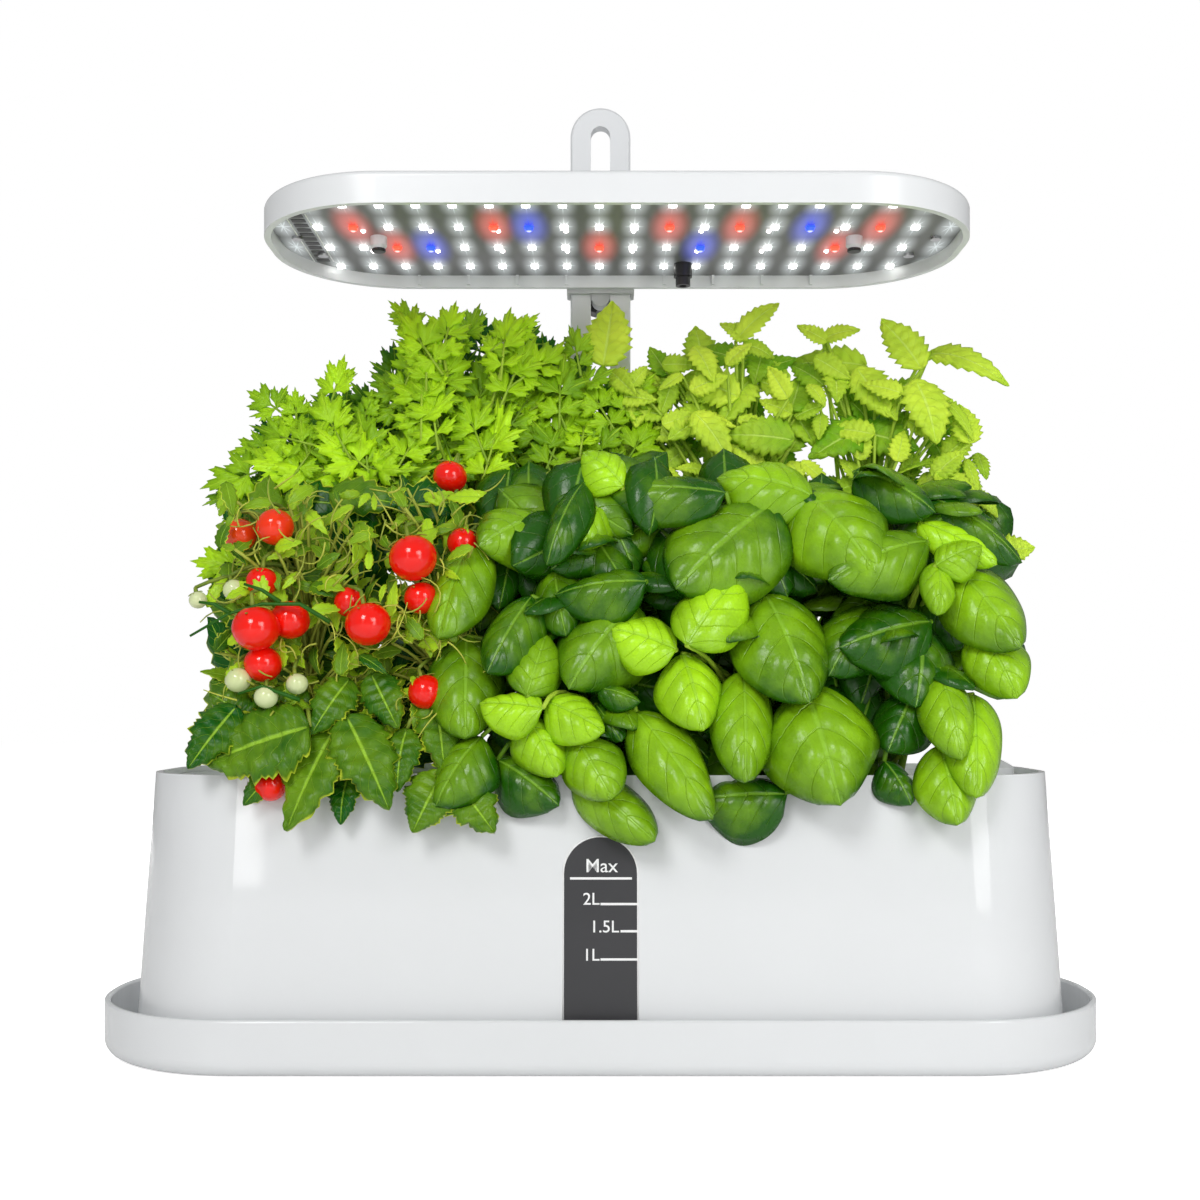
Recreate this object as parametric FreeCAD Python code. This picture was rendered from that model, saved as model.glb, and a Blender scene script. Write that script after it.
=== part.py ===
import FreeCAD, Part
import math
import os

# Countertop hydroponic garden: drip tray, water tank, planting deck with ten pods,
# mast with a sliding clamp, and a lamp head over the plants. Millimetres, +Z up,
# origin on the table under the middle of the tray, front towards -Y.

V = FreeCAD.Vector
UP = V(0, 0, 1)

# Clearances
FIT = 0.05            # radial, round running fits
GAP = 0.3             # between pieces that move past each other
SLIP = 0.15           # each side, pieces that drop in by hand

# Drip tray
TRAY_MARGIN_X = 14.4  # beyond the tank's base at each end
TRAY_MARGIN_Y = 6.0   # beyond the tank's base in front and behind
TRAY_END_FLAT = 2.5   # half the straight stretch at each end, between the round corners
TRAY_RIM_Z = 21.0
TRAY_WALL = 2.4
TRAY_FLOOR = 2.4
TRAY_EDGE_R = 6.0

# Tank, which narrows towards its rim
FEET_H = 1.6
FEET_R = 6.0
FEET_INSET_X = 40.0
FEET_INSET_Y = 22.5
TANK_BASE_HALF_X = 180.0
TANK_BASE_HALF_Y = 56.5
TANK_BASE_END_FLAT = 12.5
TANK_RIM_HALF_X = 172.5
TANK_RIM_HALF_Y = 52.0
TANK_RIM_END_FLAT = 12.0
TANK_H = 104.5
TANK_WALL = 2.4
TANK_FLOOR = 2.4
TANK_BASE_Z = TRAY_FLOOR + FEET_H
TANK_RIM_Z = TANK_BASE_Z + TANK_H
TANK_FLOOR_Z = TANK_BASE_Z + TANK_FLOOR
TRAY_HALF_X = TANK_BASE_HALF_X + TRAY_MARGIN_X
TRAY_HALF_Y = TANK_BASE_HALF_Y + TRAY_MARGIN_Y
TRAY_CORNER = TRAY_HALF_Y - TRAY_END_FLAT
TANK_BASE_CORNER = TANK_BASE_HALF_Y - TANK_BASE_END_FLAT
TANK_RIM_CORNER = TANK_RIM_HALF_Y - TANK_RIM_END_FLAT
FEET_X = TANK_BASE_HALF_X - FEET_INSET_X
FEET_Y = TANK_BASE_HALF_Y - FEET_INSET_Y

# Level window in the tank's front wall
WINDOW_HALF_X = 13.6
WINDOW_LOW = 10.0     # above the tank's base
WINDOW_HIGH = 82.3    # arch top above the tank's base

# Deck and its ledge
DECK_T = 2.4
DECK_DROP = 4.0       # deck top below the tank's rim
DECK_TOP = TANK_RIM_Z - DECK_DROP
DECK_LOW = DECK_TOP - DECK_T
DECK_RIM_H = 1.6
DECK_RIM_W = 1.8
LEDGE_W = 2.6
LEDGE_T = 3.0
RIB_T = 1.8
RIB_H = 7.0

# Pods
POD_PITCH = 56.0
POD_COLUMNS = 5
POD_FRONT_Y = -24.0
POD_BACK_Y = 18.0
BASKET_TOP_R = 15.0
BASKET_LOW_R = 11.5
BASKET_H = 45.0
BASKET_WALL = 1.2
BASKET_RIM_R = 17.2
BASKET_RIM_T = 1.2
BASKET_SLOT_W = 2.6
BASKET_SLOT_H = 24.0
BASKET_FOOT = 6.0     # solid band under the slots
BASKET_DRAIN_W = 2.0
BASKET_DRAIN_PITCH = 5.0
BASKET_DRAIN_HALF_L = 6.3
SPONGE_H = 34.0
SPONGE_TOP_DROP = 1.5
STEM_HOLE_DEPTH = 12.0

# Water inlet with its hinged cover
INLET_INSET = 25.0    # from the end of the tank's rim
INLET_X = TANK_RIM_HALF_X - INLET_INSET
INLET_R = 12.5
COLLAR_WALL = 2.5
COLLAR_H = 3.0
COVER_WALL = 1.6
COVER_H = 10.3
COVER_CROWN = 5.4
POLE_FLAT = 0.05      # how far a dome's pole is cut off flat
TAB_UP = 1.2
TAB_DOWN = 1.6
HINGE_Y = 21.0
HINGE_Z = DECK_TOP + 2.7
HINGE_PIN_R = 1.2
KNUCKLE_R = 2.2
KNUCKLE_L = 7.0
EAR_L = 3.7

# Air vents beside the left pods
VENT_INSET = 23.5     # from the end of the tank's rim
VENT_X = VENT_INSET - TANK_RIM_HALF_X
VENT_COUNT = 5
VENT_PITCH = 4.6
VENT_W = 2.4
VENT_L = 26.0

# Mast
MAST_W = 25.6
MAST_T = 6.0
MAST_TOP = 389.0
MAST_Y = 43.5
MAST_SLOT_W = 8.3
MAST_SLOT_LOW = 130.0
MAST_SLOT_TOP_WALL = 8.0
MAST_EDGE = 0.8
SOCKET_WALL_X = 3.4
SOCKET_WALL_Y = 2.3
SOCKET_UP = 12.0
SOCKET_DOWN = 30.0
SOCKET_FLOOR = 2.0
SOCKET_FLANGE = 1.5
SOCKET_CORNER = 1.5
SOCKET_SCREW_R = 1.5
SOCKET_SCREW_HEAD_R = 2.7
SOCKET_SCREW_HEAD = 1.3
SOCKET_SCREW_X = 6.5

# Lamp head
LAMP_X = 6.2
LAMP_Y = -17.5
LAMP_HALF_X = 134.2
LAMP_HALF_Y = 55.5
LAMP_END_FLAT = 6.5
LAMP_CORNER = LAMP_HALF_Y - LAMP_END_FLAT
LAMP_LOW = 310.8
LAMP_TOP = 322.6
LAMP_WALL = 2.5
LAMP_ROOF = 2.0
LAMP_EDGE_R = 2.2
BOARD_T = 1.6
BOARD_LOW = 315.8
LED_COLUMNS = 18
LED_PITCH_X = 13.35
LED_PITCH_Y = 25.6
LED_W = 3.0
LED_T = 0.8
SMALL_LED_W = 1.7
LED_ROWS = ["WWWWWWWWWWWWWWWWWW", "WRWWWRBWWWRWRWBWRW", "WWRBWWWWRWWBWWWRWW", "WWWWWWWWWWWWWWWWWW"]
POST_X = 92.3
POST_R = 3.2
POST_L = 4.8
POST_TIP_L = 1.2
JACK_X = 27.8
JACK_Y = 36.1
JACK_R = 3.0
JACK_COLLAR_R = 3.75
JACK_COLLAR_L = 5.5
JACK_L = 9.1
JACK_BORE_R = 1.6
RIB_PITCH = 20.7
RIB_COUNT = 5
RIB_DEPTH = 1.2
BOSS_R = 3.0
BOARD_SCREW_R = 1.1
BOARD_SCREW_HEAD_R = 2.1
BOARD_SCREW_HEAD = 1.1
BOARD_SCREW_INSET_1 = 10.2   # from the lamp's end, level with its middle
BOARD_SCREW_INSET_2 = 16.2   # from the lamp's end, nearer the mast
BOARD_SCREW_Y_2 = 22.0

# Buttons in the lamp's roof
BUTTON_R = 5.8
BUTTON_LIP_R = 7.2
BUTTON_LIP_T = 0.8
BUTTON_PROUD = 0.8
BUTTON_X = 11.0
BUTTON_Y = 30.0
SWITCH_W = 5.0
SWITCH_H = 1.2

# Carriage that holds the lamp on the mast
CARRIAGE_H = 13.0
CARRIAGE_LOW = 309.0
CARRIAGE_SIDE = 1.2
CARRIAGE_BACK = 3.4
KEY_LOW = 304.0
KEY_HIGH = 324.0
STUD_R = 2.5
STUD_Z = 315.5
KNOB_R = 11.0
KNOB_T = 11.0
KNOB_LOBES = 8
KNOB_LOBE_R = 2.4
KNOB_COLLAR_R = 6.0
KNOB_COLLAR_T = 2.0
BRACKET_SCREW_R = 1.1
BRACKET_SCREW_HEAD = 1.0
BRACKET_SCREW_X = 9.0
STUD_SEAT = 3.0       # how deep the stud sits in the carriage
STUD_SHORT = 1.5      # how far the stud ends inside the knob

# Pump on the tank floor
PUMP_INSET = 40.0     # from the end of the tank's base
PUMP_X = PUMP_INSET - TANK_BASE_HALF_X
PUMP_L = 34.0
PUMP_W = 28.0
PUMP_H = 26.0
PUMP_EDGE = 3.0
CHAMBER_R = 10.0
CHAMBER_D = 14.0
SHAFT_R = 1.2
IMPELLER_L = 10.0
IMPELLER_R = 8.5
BLADE_SHORT = 2.0     # how much shorter a blade is than the hub
SHAFT_SEAT = 4.0
IMPELLER_HUB_R = 3.4
BLADES = 6
BLADE_T = 1.2
COVER_PLATE_T = 2.4
STRAINER_W = 1.6
STRAINER_PITCH = 3.4
STRAINER_COUNT = 3
SPOUT_R = 4.5
SPOUT_WALL = 1.2
SPOUT_H = 30.0
SPOUT_FLANGE_R = 6.5
SPOUT_FLANGE_T = 2.0

# Plants
STEM_R = 2.0
STALK_R = 0.9
LEAF_T = 1.3
CELL_GAP = 0.8        # half the space kept between neighbouring plants
CELL_SPLIT_Y = -3.0
CELL_BACK_Y = 35.0
CELL_FRONT_Y = -66.0
CELL_END_X = 154.0
BERRY_R = 8.0
BERRY_POLE = 80       # degrees; the ball ends in a small flat at its stalk and at its base
FRUIT_DROP = 6.0
LEAFLET_L = 17.0
LEAFLET_W = 11.0
LEAFLET_SWING = 50
LEAFLET_TILT = 14
SPRAY_REACH = 34.0
LEAF_REACH = 34.0
LEAF_ROOM = LAMP_LOW - DECK_TOP      # height between the deck and the lamp's rim


def disc(x, y, r, z_low, z_high):
    return Part.makeCylinder(r, z_high - z_low, V(x, y, z_low), UP)


def rod(start, along, r, length):
    return Part.makeCylinder(r, length, start, along)


def block(x0, x1, y0, y1, z0, z1):
    return Part.makeBox(x1 - x0, y1 - y0, z1 - z0, V(x0, y0, z0))


def outline(cx, cy, half_x, half_y, corner, z):
    """Closed wire: a rectangle with round corners, level at height z."""
    edges = []
    ends = []
    for k, (sx, sy) in enumerate([(1, -1), (1, 1), (-1, 1), (-1, -1)]):
        middle = V(cx + sx * (half_x - corner), cy + sy * (half_y - corner), z)
        points = []
        for step in range(3):
            a = math.radians(-90 + 90 * k + 45 * step)
            points.append(middle + V(corner * math.cos(a), corner * math.sin(a), 0))
        edges.append(Part.Arc(*points).toShape())
        ends.append((points[0], points[2]))
    for k in range(4):
        edges.append(Part.makeLine(ends[k][1], ends[(k + 1) % 4][0]))
    ordered = [edges[0], edges[4], edges[1], edges[5], edges[2], edges[6], edges[3], edges[7]]
    return Part.Wire(ordered)


def slab(cx, cy, half_x, half_y, corner, z_low, z_high):
    face = Part.Face(outline(cx, cy, half_x, half_y, corner, z_low))
    return face.extrude(V(0, 0, z_high - z_low))


def level_edges(shape, z):
    """The edges of a shape that lie level at height z."""
    return [e for e in shape.Edges if all(abs(v.Z - z) < 1e-4 for v in e.Vertexes)]


def tank_outline(z, inset):
    """Section of the tank's outer wall at height z, moved in by inset."""
    t = (z - TANK_BASE_Z) / TANK_H
    half_x = TANK_BASE_HALF_X + (TANK_RIM_HALF_X - TANK_BASE_HALF_X) * t - inset
    half_y = TANK_BASE_HALF_Y + (TANK_RIM_HALF_Y - TANK_BASE_HALF_Y) * t - inset
    corner = TANK_BASE_CORNER + (TANK_RIM_CORNER - TANK_BASE_CORNER) * t - inset
    return outline(0, 0, half_x, half_y, corner, z)


def tank_span(z_low, z_high, inset):
    return Part.makeLoft([tank_outline(z_low, inset), tank_outline(z_high, inset)], True, True)


def arch_prism(half_x, z_low, z_top, y0, y1):
    """A round-topped window shape, pushed along Y."""
    spring_z = z_top - half_x
    left_foot = V(-half_x, y0, z_low)
    right_foot = V(half_x, y0, z_low)
    right = V(half_x, y0, spring_z)
    left = V(-half_x, y0, spring_z)
    arch = Part.Arc(right, V(0, y0, z_top), left).toShape()
    sides = [Part.makeLine(left_foot, right_foot), Part.makeLine(right_foot, right), arch]
    sides.append(Part.makeLine(left, left_foot))
    return Part.Face(Part.Wire(sides)).extrude(V(0, y1 - y0, 0))


def long_slot(cx, half_w, z_low, z_top, y0, y1):
    """A slot with two round ends, standing along Z and pushed along Y."""
    body = block(cx - half_w, cx + half_w, y0, y1, z_low + half_w, z_top - half_w)
    low = rod(V(cx, y0, z_low + half_w), V(0, 1, 0), half_w, y1 - y0)
    top = rod(V(cx, y0, z_top - half_w), V(0, 1, 0), half_w, y1 - y0)
    return body.fuse([low, top]).removeSplitter()


def drip_tray():
    outer = slab(0, 0, TRAY_HALF_X, TRAY_HALF_Y, TRAY_CORNER, 0, TRAY_RIM_Z)
    outer = outer.makeFillet(TRAY_EDGE_R, level_edges(outer, 0))
    inner = slab(0, 0, TRAY_HALF_X - TRAY_WALL, TRAY_HALF_Y - TRAY_WALL,
                 TRAY_CORNER - TRAY_WALL, TRAY_FLOOR, TRAY_RIM_Z + 1)
    inner = inner.makeFillet(TRAY_EDGE_R - TRAY_WALL, level_edges(inner, TRAY_FLOOR))
    tray = outer.cut(inner)
    return tray.makeFillet(TRAY_WALL * 0.4, level_edges(tray, TRAY_RIM_Z))


def tank_shell():
    outer = tank_span(TANK_BASE_Z, TANK_RIM_Z, 0)
    return outer.cut(tank_span(TANK_FLOOR_Z, TANK_RIM_Z + 1, TANK_WALL))


def window_prism():
    z_low = TANK_BASE_Z + WINDOW_LOW
    z_top = TANK_BASE_Z + WINDOW_HIGH
    return arch_prism(WINDOW_HALF_X, z_low, z_top, -TANK_BASE_HALF_Y - 5, -TANK_RIM_HALF_Y + 10)


def deck_ledge():
    ring = tank_span(DECK_LOW - LEDGE_T, DECK_LOW, TANK_WALL - 0.5)
    ring = ring.cut(tank_span(DECK_LOW - LEDGE_T - 1, DECK_LOW + 1, TANK_WALL + LEDGE_W))
    half_x = socket_size()[0] + SOCKET_FLANGE + 1.0
    return ring.cut(block(-half_x, half_x, 0, TANK_BASE_HALF_Y, DECK_LOW - LEDGE_T - 1, DECK_LOW + 1))


def water_tank():
    return tank_shell().cut(window_prism()).fuse(deck_ledge()).removeSplitter()


def level_window():
    return tank_shell().common(window_prism())


def tank_feet():
    spots = [(sx * FEET_X, sy * FEET_Y) for sx in (-1, 1) for sy in (-1, 1)]
    return Part.makeCompound([disc(x, y, FEET_R, TRAY_FLOOR, TANK_BASE_Z) for x, y in spots])


def pod_places():
    """Column, row and centre of each pod; row 0 is in front."""
    places = []
    for row, y in enumerate((POD_FRONT_Y, POD_BACK_Y)):
        for column in range(POD_COLUMNS):
            places.append((column, row, (column - (POD_COLUMNS - 1) / 2) * POD_PITCH, y))
    return places


def hinge_ears():
    ears = []
    for side in (-1, 1):
        near = INLET_X + side * (KNUCKLE_L / 2 + GAP)
        far = near + side * EAR_L
        foot = block(min(near, far), max(near, far), HINGE_Y - KNUCKLE_R, HINGE_Y + KNUCKLE_R,
                     DECK_TOP, HINGE_Z)
        crown = rod(V(min(near, far), HINGE_Y, HINGE_Z), V(1, 0, 0), KNUCKLE_R, EAR_L)
        ears.append(foot.fuse(crown))
    return ears


def socket_size():
    half_x = MAST_W / 2 + SLIP + SOCKET_WALL_X
    half_y = MAST_T / 2 + SLIP + SOCKET_WALL_Y
    return half_x, half_y


def grow_deck():
    deck = tank_span(DECK_LOW, DECK_TOP, TANK_WALL + GAP)
    border = tank_span(DECK_TOP, DECK_TOP + DECK_RIM_H, TANK_WALL + GAP)
    border = border.cut(tank_span(DECK_TOP - 1, DECK_TOP + DECK_RIM_H + 1, TANK_WALL + GAP + DECK_RIM_W))
    rib_half = POD_PITCH * (POD_COLUMNS - 1) / 2 + BASKET_TOP_R
    rib = block(-rib_half, rib_half, CELL_SPLIT_Y - RIB_T / 2, CELL_SPLIT_Y + RIB_T / 2,
                DECK_LOW - RIB_H, DECK_LOW)
    collar = disc(INLET_X, 0, INLET_R + COLLAR_WALL, DECK_TOP, DECK_TOP + COLLAR_H)
    deck = deck.fuse([border, rib, collar] + hinge_ears())
    holes = [disc(x, y, BASKET_TOP_R + SLIP, DECK_LOW - RIB_H - 1, DECK_TOP + 1)
             for column, row, x, y in pod_places()]
    holes.append(disc(INLET_X, 0, INLET_R, DECK_LOW - 1, DECK_TOP + COLLAR_H + 1))
    holes.append(rod(V(INLET_X - KNUCKLE_L - EAR_L, HINGE_Y, HINGE_Z), V(1, 0, 0), HINGE_PIN_R,
                     2 * (KNUCKLE_L + EAR_L)))
    for k in range(VENT_COUNT):
        x = VENT_X + (k - (VENT_COUNT - 1) / 2) * VENT_PITCH
        holes.append(slab(x, 0, VENT_W / 2, VENT_L / 2, VENT_W * 0.49, DECK_LOW - 1, DECK_TOP + 1))
    half_x, half_y = socket_size()
    holes.append(block(-half_x, half_x, MAST_Y - half_y, TANK_BASE_HALF_Y, DECK_LOW - 1,
                       DECK_TOP + DECK_RIM_H + 1))
    return deck.cut(Part.makeCompound(holes)).removeSplitter()


def basket(x, y):
    """Net cup: a tapered cup with a flange, six upright slots and a cross of slots below."""
    low = DECK_TOP - BASKET_H
    outer = Part.makeCone(BASKET_LOW_R, BASKET_TOP_R, BASKET_H, V(x, y, low), UP)
    rim = disc(x, y, BASKET_RIM_R, DECK_TOP, DECK_TOP + BASKET_RIM_T)
    hollow = Part.makeCone(BASKET_LOW_R - BASKET_WALL, BASKET_TOP_R - BASKET_WALL,
                           BASKET_H + BASKET_RIM_T, V(x, y, low + BASKET_WALL), UP)
    cup = outer.fuse(rim).cut(hollow)
    cutters = []
    for k in range(3):
        bar = block(x - BASKET_TOP_R - 1, x + BASKET_TOP_R + 1, y - BASKET_SLOT_W / 2,
                    y + BASKET_SLOT_W / 2, low + BASKET_FOOT, low + BASKET_FOOT + BASKET_SLOT_H)
        bar.rotate(V(x, y, 0), UP, 30 + 60 * k)
        cutters.append(bar)
    for k in (-1, 0, 1):
        middle = y + k * BASKET_DRAIN_PITCH
        cutters.append(block(x - BASKET_DRAIN_HALF_L, x + BASKET_DRAIN_HALF_L, middle - BASKET_DRAIN_W / 2,
                             middle + BASKET_DRAIN_W / 2, low - 1, low + BASKET_WALL + 1))
    return cup.cut(Part.makeCompound(cutters))


def sponge(x, y):
    top = DECK_TOP - SPONGE_TOP_DROP
    taper = (BASKET_TOP_R - BASKET_LOW_R) / BASKET_H
    top_r = BASKET_TOP_R - BASKET_WALL - taper * (SPONGE_TOP_DROP + BASKET_WALL) - SLIP
    low_r = top_r - taper * SPONGE_H
    plug = Part.makeCone(low_r, top_r, SPONGE_H, V(x, y, top - SPONGE_H), UP)
    return plug.cut(disc(x, y, STEM_R, top - STEM_HOLE_DEPTH, top + 1))


def domed_plug(r, crown, z_low, z_top):
    """A round plug at the inlet whose top is a shallow dome of height crown."""
    ball_r = (r * r + crown * crown) / (2 * crown)
    ball = Part.makeSphere(ball_r, V(INLET_X, 0, z_top + POLE_FLAT - ball_r))
    return disc(INLET_X, 0, r, z_low, z_top).common(ball)


def inlet_cover():
    """Domed cover: a hollow cap over the collar, with a hinge knuckle behind."""
    skirt_in = INLET_R + COLLAR_WALL + 2 * GAP
    skirt_out = skirt_in + COVER_WALL
    seat = DECK_TOP + COLLAR_H
    foot = DECK_TOP + GAP
    top = DECK_TOP + COVER_H
    cap = domed_plug(skirt_out, COVER_CROWN, foot, top)
    hollow = domed_plug(INLET_R - 1.0, COVER_CROWN * 0.5, seat - 0.5, top - COVER_WALL)
    cap = cap.cut(disc(INLET_X, 0, skirt_in, foot - 1, seat)).cut(hollow)
    half = KNUCKLE_L / 2
    tab = block(INLET_X - half, INLET_X + half, skirt_in + COVER_WALL / 2, HINGE_Y,
                HINGE_Z - TAB_DOWN, HINGE_Z + TAB_UP)
    knuckle = rod(V(INLET_X - half, HINGE_Y, HINGE_Z), V(1, 0, 0), KNUCKLE_R - GAP, KNUCKLE_L)
    bore = rod(V(INLET_X - half - 1, HINGE_Y, HINGE_Z), V(1, 0, 0), HINGE_PIN_R + FIT, KNUCKLE_L + 2)
    return cap.fuse([tab, knuckle]).cut(bore)


def inlet_pin():
    half = KNUCKLE_L / 2 + GAP + EAR_L
    return rod(V(INLET_X - half, HINGE_Y, HINGE_Z), V(1, 0, 0), HINGE_PIN_R, 2 * half)


def mast_low():
    return DECK_TOP - SOCKET_DOWN + SOCKET_FLOOR


def screw_height():
    return DECK_TOP + SOCKET_UP / 2


def mast():
    r = MAST_W / 2
    y0 = MAST_Y - MAST_T / 2
    y1 = MAST_Y + MAST_T / 2
    bar = block(-r, r, y0, y1, mast_low(), MAST_TOP - r)
    crown = rod(V(0, y0, MAST_TOP - r), V(0, 1, 0), r, MAST_T)
    blank = bar.fuse(crown).removeSplitter()
    rim = [e for e in blank.Edges if abs(e.BoundBox.YLength) < 1e-6 and e.BoundBox.ZMax > MAST_TOP - r - 1]
    blank = blank.makeChamfer(MAST_EDGE, rim)
    slot = long_slot(0, MAST_SLOT_W / 2, MAST_SLOT_LOW, MAST_TOP - MAST_SLOT_TOP_WALL, y0 - 1, y1 + 1)
    holes = [rod(V(side * SOCKET_SCREW_X, y0 - 1, screw_height()), V(0, 1, 0), SOCKET_SCREW_R, MAST_T + 2)
             for side in (-1, 1)]
    return blank.cut([slot] + holes)


def mast_socket():
    """Sleeve let into the deck that holds the mast's foot."""
    half_x, half_y = socket_size()
    low = DECK_TOP - SOCKET_DOWN
    sleeve = slab(0, MAST_Y, half_x, half_y, SOCKET_CORNER, low, DECK_TOP + SOCKET_UP)
    sleeve = sleeve.fuse(slab(0, MAST_Y, half_x + SOCKET_FLANGE, half_y, SOCKET_CORNER,
                              DECK_LOW - SOCKET_FLANGE, DECK_LOW))
    room_x = MAST_W / 2 + SLIP
    room_y = MAST_T / 2 + SLIP
    room = block(-room_x, room_x, MAST_Y - room_y, MAST_Y + room_y, mast_low(), DECK_TOP + SOCKET_UP + 1)
    holes = [rod(V(side * SOCKET_SCREW_X, MAST_Y - half_y - 1, screw_height()), V(0, 1, 0),
                 SOCKET_SCREW_R, half_y + 1) for side in (-1, 1)]
    return sleeve.cut([room] + holes)


def socket_screws():
    half_x, half_y = socket_size()
    screws = []
    for side in (-1, 1):
        front = MAST_Y - half_y
        shaft = rod(V(side * SOCKET_SCREW_X, front, screw_height()), V(0, 1, 0), SOCKET_SCREW_R,
                    half_y + MAST_T / 2)
        head = rod(V(side * SOCKET_SCREW_X, front - SOCKET_SCREW_HEAD, screw_height()), V(0, 1, 0),
                   SOCKET_SCREW_HEAD_R, SOCKET_SCREW_HEAD)
        screws.append(shaft.fuse(head))
    return Part.makeCompound(screws)


def board_screw_places():
    first = LAMP_HALF_X - BOARD_SCREW_INSET_1
    second = LAMP_HALF_X - BOARD_SCREW_INSET_2
    places = []
    for side in (-1, 1):
        places.append((LAMP_X + side * first, LAMP_Y))
        places.append((LAMP_X + side * second, LAMP_Y + BOARD_SCREW_Y_2))
    return places


def button_places():
    return {"light_button": LAMP_X - BUTTON_X, "pump_button": LAMP_X + BUTTON_X}


def bracket_screw_z():
    """Half way between the board and the lamp's roof."""
    return (BOARD_LOW + BOARD_T + LAMP_TOP - LAMP_ROOF) / 2


def lamp_housing():
    """Shallow upside-down tray with bosses, ribs and two button holes."""
    outer = slab(LAMP_X, LAMP_Y, LAMP_HALF_X, LAMP_HALF_Y, LAMP_CORNER, LAMP_LOW, LAMP_TOP)
    outer = outer.makeFillet(LAMP_EDGE_R, level_edges(outer, LAMP_TOP))
    roof = LAMP_TOP - LAMP_ROOF
    inner = slab(LAMP_X, LAMP_Y, LAMP_HALF_X - LAMP_WALL, LAMP_HALF_Y - LAMP_WALL,
                 LAMP_CORNER - LAMP_WALL, LAMP_LOW - 1, roof)
    shell = outer.cut(inner)
    added = []
    for x, y in board_screw_places():
        added.append(disc(x, y, BOSS_R, BOARD_LOW + BOARD_T, roof + 0.5))
    wall_y = LAMP_Y + LAMP_HALF_Y - LAMP_WALL
    for k in range(-RIB_COUNT + 1, RIB_COUNT):
        x = LAMP_X + k * RIB_PITCH
        if k:
            added.append(block(x - 0.6, x + 0.6, wall_y - RIB_DEPTH, wall_y + 0.5, LAMP_LOW + 1, BOARD_LOW))
    shell = shell.fuse(added)
    holes = [disc(x, y, BOARD_SCREW_R + FIT, BOARD_LOW, roof - 0.2) for x, y in board_screw_places()]
    for x in button_places().values():
        holes.append(disc(x, LAMP_Y + BUTTON_Y, BUTTON_R + GAP, roof - 1, LAMP_TOP + 1))
    for side in (-1, 1):
        holes.append(rod(V(side * BRACKET_SCREW_X, wall_y - 1, bracket_screw_z()), V(0, 1, 0),
                         BRACKET_SCREW_R + FIT, LAMP_WALL + 2))
    return shell.cut(holes)


def led_board():
    board = slab(LAMP_X, LAMP_Y, LAMP_HALF_X - LAMP_WALL - SLIP, LAMP_HALF_Y - LAMP_WALL - SLIP,
                 LAMP_CORNER - LAMP_WALL - SLIP, BOARD_LOW, BOARD_LOW + BOARD_T)
    return board.cut([disc(x, y, BOARD_SCREW_R + FIT, BOARD_LOW - 1, BOARD_LOW + BOARD_T + 1)
                      for x, y in board_screw_places()])


def led_place(row, column):
    x = LAMP_X + (column - (LED_COLUMNS - 1) / 2) * LED_PITCH_X
    return x, LAMP_Y + (row - (len(LED_ROWS) - 1) / 2) * LED_PITCH_Y


def chips(colour):
    """Chips of one colour, under the board."""
    found = []
    for row, line in enumerate(LED_ROWS):
        for column in range(LED_COLUMNS):
            if line[column] == colour:
                x, y = led_place(row, column)
                found.append(block(x - LED_W / 2, x + LED_W / 2, y - LED_W / 2, y + LED_W / 2,
                                   BOARD_LOW - LED_T, BOARD_LOW))
    return Part.makeCompound(found)


def small_chips():
    """The small chips that stand behind the two middle rows, slightly closer together."""
    found = []
    half = SMALL_LED_W / 2
    for row in (1, 2):
        for column in range(1, LED_COLUMNS - 1, 2):
            x, y = led_place(row, column)
            x = LAMP_X + (x - LAMP_X) * 0.97
            y = y + LED_W + 2.0
            found.append(block(x - half, x + half, y - half, y + half, BOARD_LOW - LED_T / 2, BOARD_LOW))
    return Part.makeCompound(found)


def board_screws():
    screws = []
    for x, y in board_screw_places():
        shaft = disc(x, y, BOARD_SCREW_R, BOARD_LOW, LAMP_TOP - LAMP_ROOF - 0.4)
        head = disc(x, y, BOARD_SCREW_HEAD_R, BOARD_LOW - BOARD_SCREW_HEAD, BOARD_LOW)
        screws.append(shaft.fuse(head))
    return Part.makeCompound(screws)


def lamp_posts():
    posts = []
    for side in (-1, 1):
        x = LAMP_X + side * POST_X
        stem = disc(x, LAMP_Y, POST_R, BOARD_LOW - POST_L + POST_TIP_L, BOARD_LOW)
        tip = Part.makeCone(POST_R * 0.7, POST_R, POST_TIP_L, V(x, LAMP_Y, BOARD_LOW - POST_L), UP)
        posts.append(stem.fuse(tip))
    return Part.makeCompound(posts)


def dc_jack():
    x = LAMP_X + JACK_X
    y = LAMP_Y + JACK_Y
    collar = disc(x, y, JACK_COLLAR_R, BOARD_LOW - JACK_COLLAR_L, BOARD_LOW)
    barrel = disc(x, y, JACK_R, BOARD_LOW - JACK_L, BOARD_LOW - JACK_COLLAR_L + 0.5)
    return collar.fuse(barrel).cut(disc(x, y, JACK_BORE_R, BOARD_LOW - JACK_L - 1, BOARD_LOW - 2.0))


def button(x):
    y = LAMP_Y + BUTTON_Y
    roof = LAMP_TOP - LAMP_ROOF
    top = LAMP_TOP + BUTTON_PROUD
    lip = disc(x, y, BUTTON_LIP_R, roof - BUTTON_LIP_T, roof)
    cap = disc(x, y, BUTTON_R, roof, top)
    cap = cap.makeFillet(BUTTON_PROUD * 0.6, level_edges(cap, top))
    return cap.fuse(lip)


def button_switches():
    base = BOARD_LOW + BOARD_T
    half = SWITCH_W / 2
    y = LAMP_Y + BUTTON_Y
    return Part.makeCompound([block(x - half, x + half, y - half, y + half, base, base + SWITCH_H)
                              for x in button_places().values()])


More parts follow.
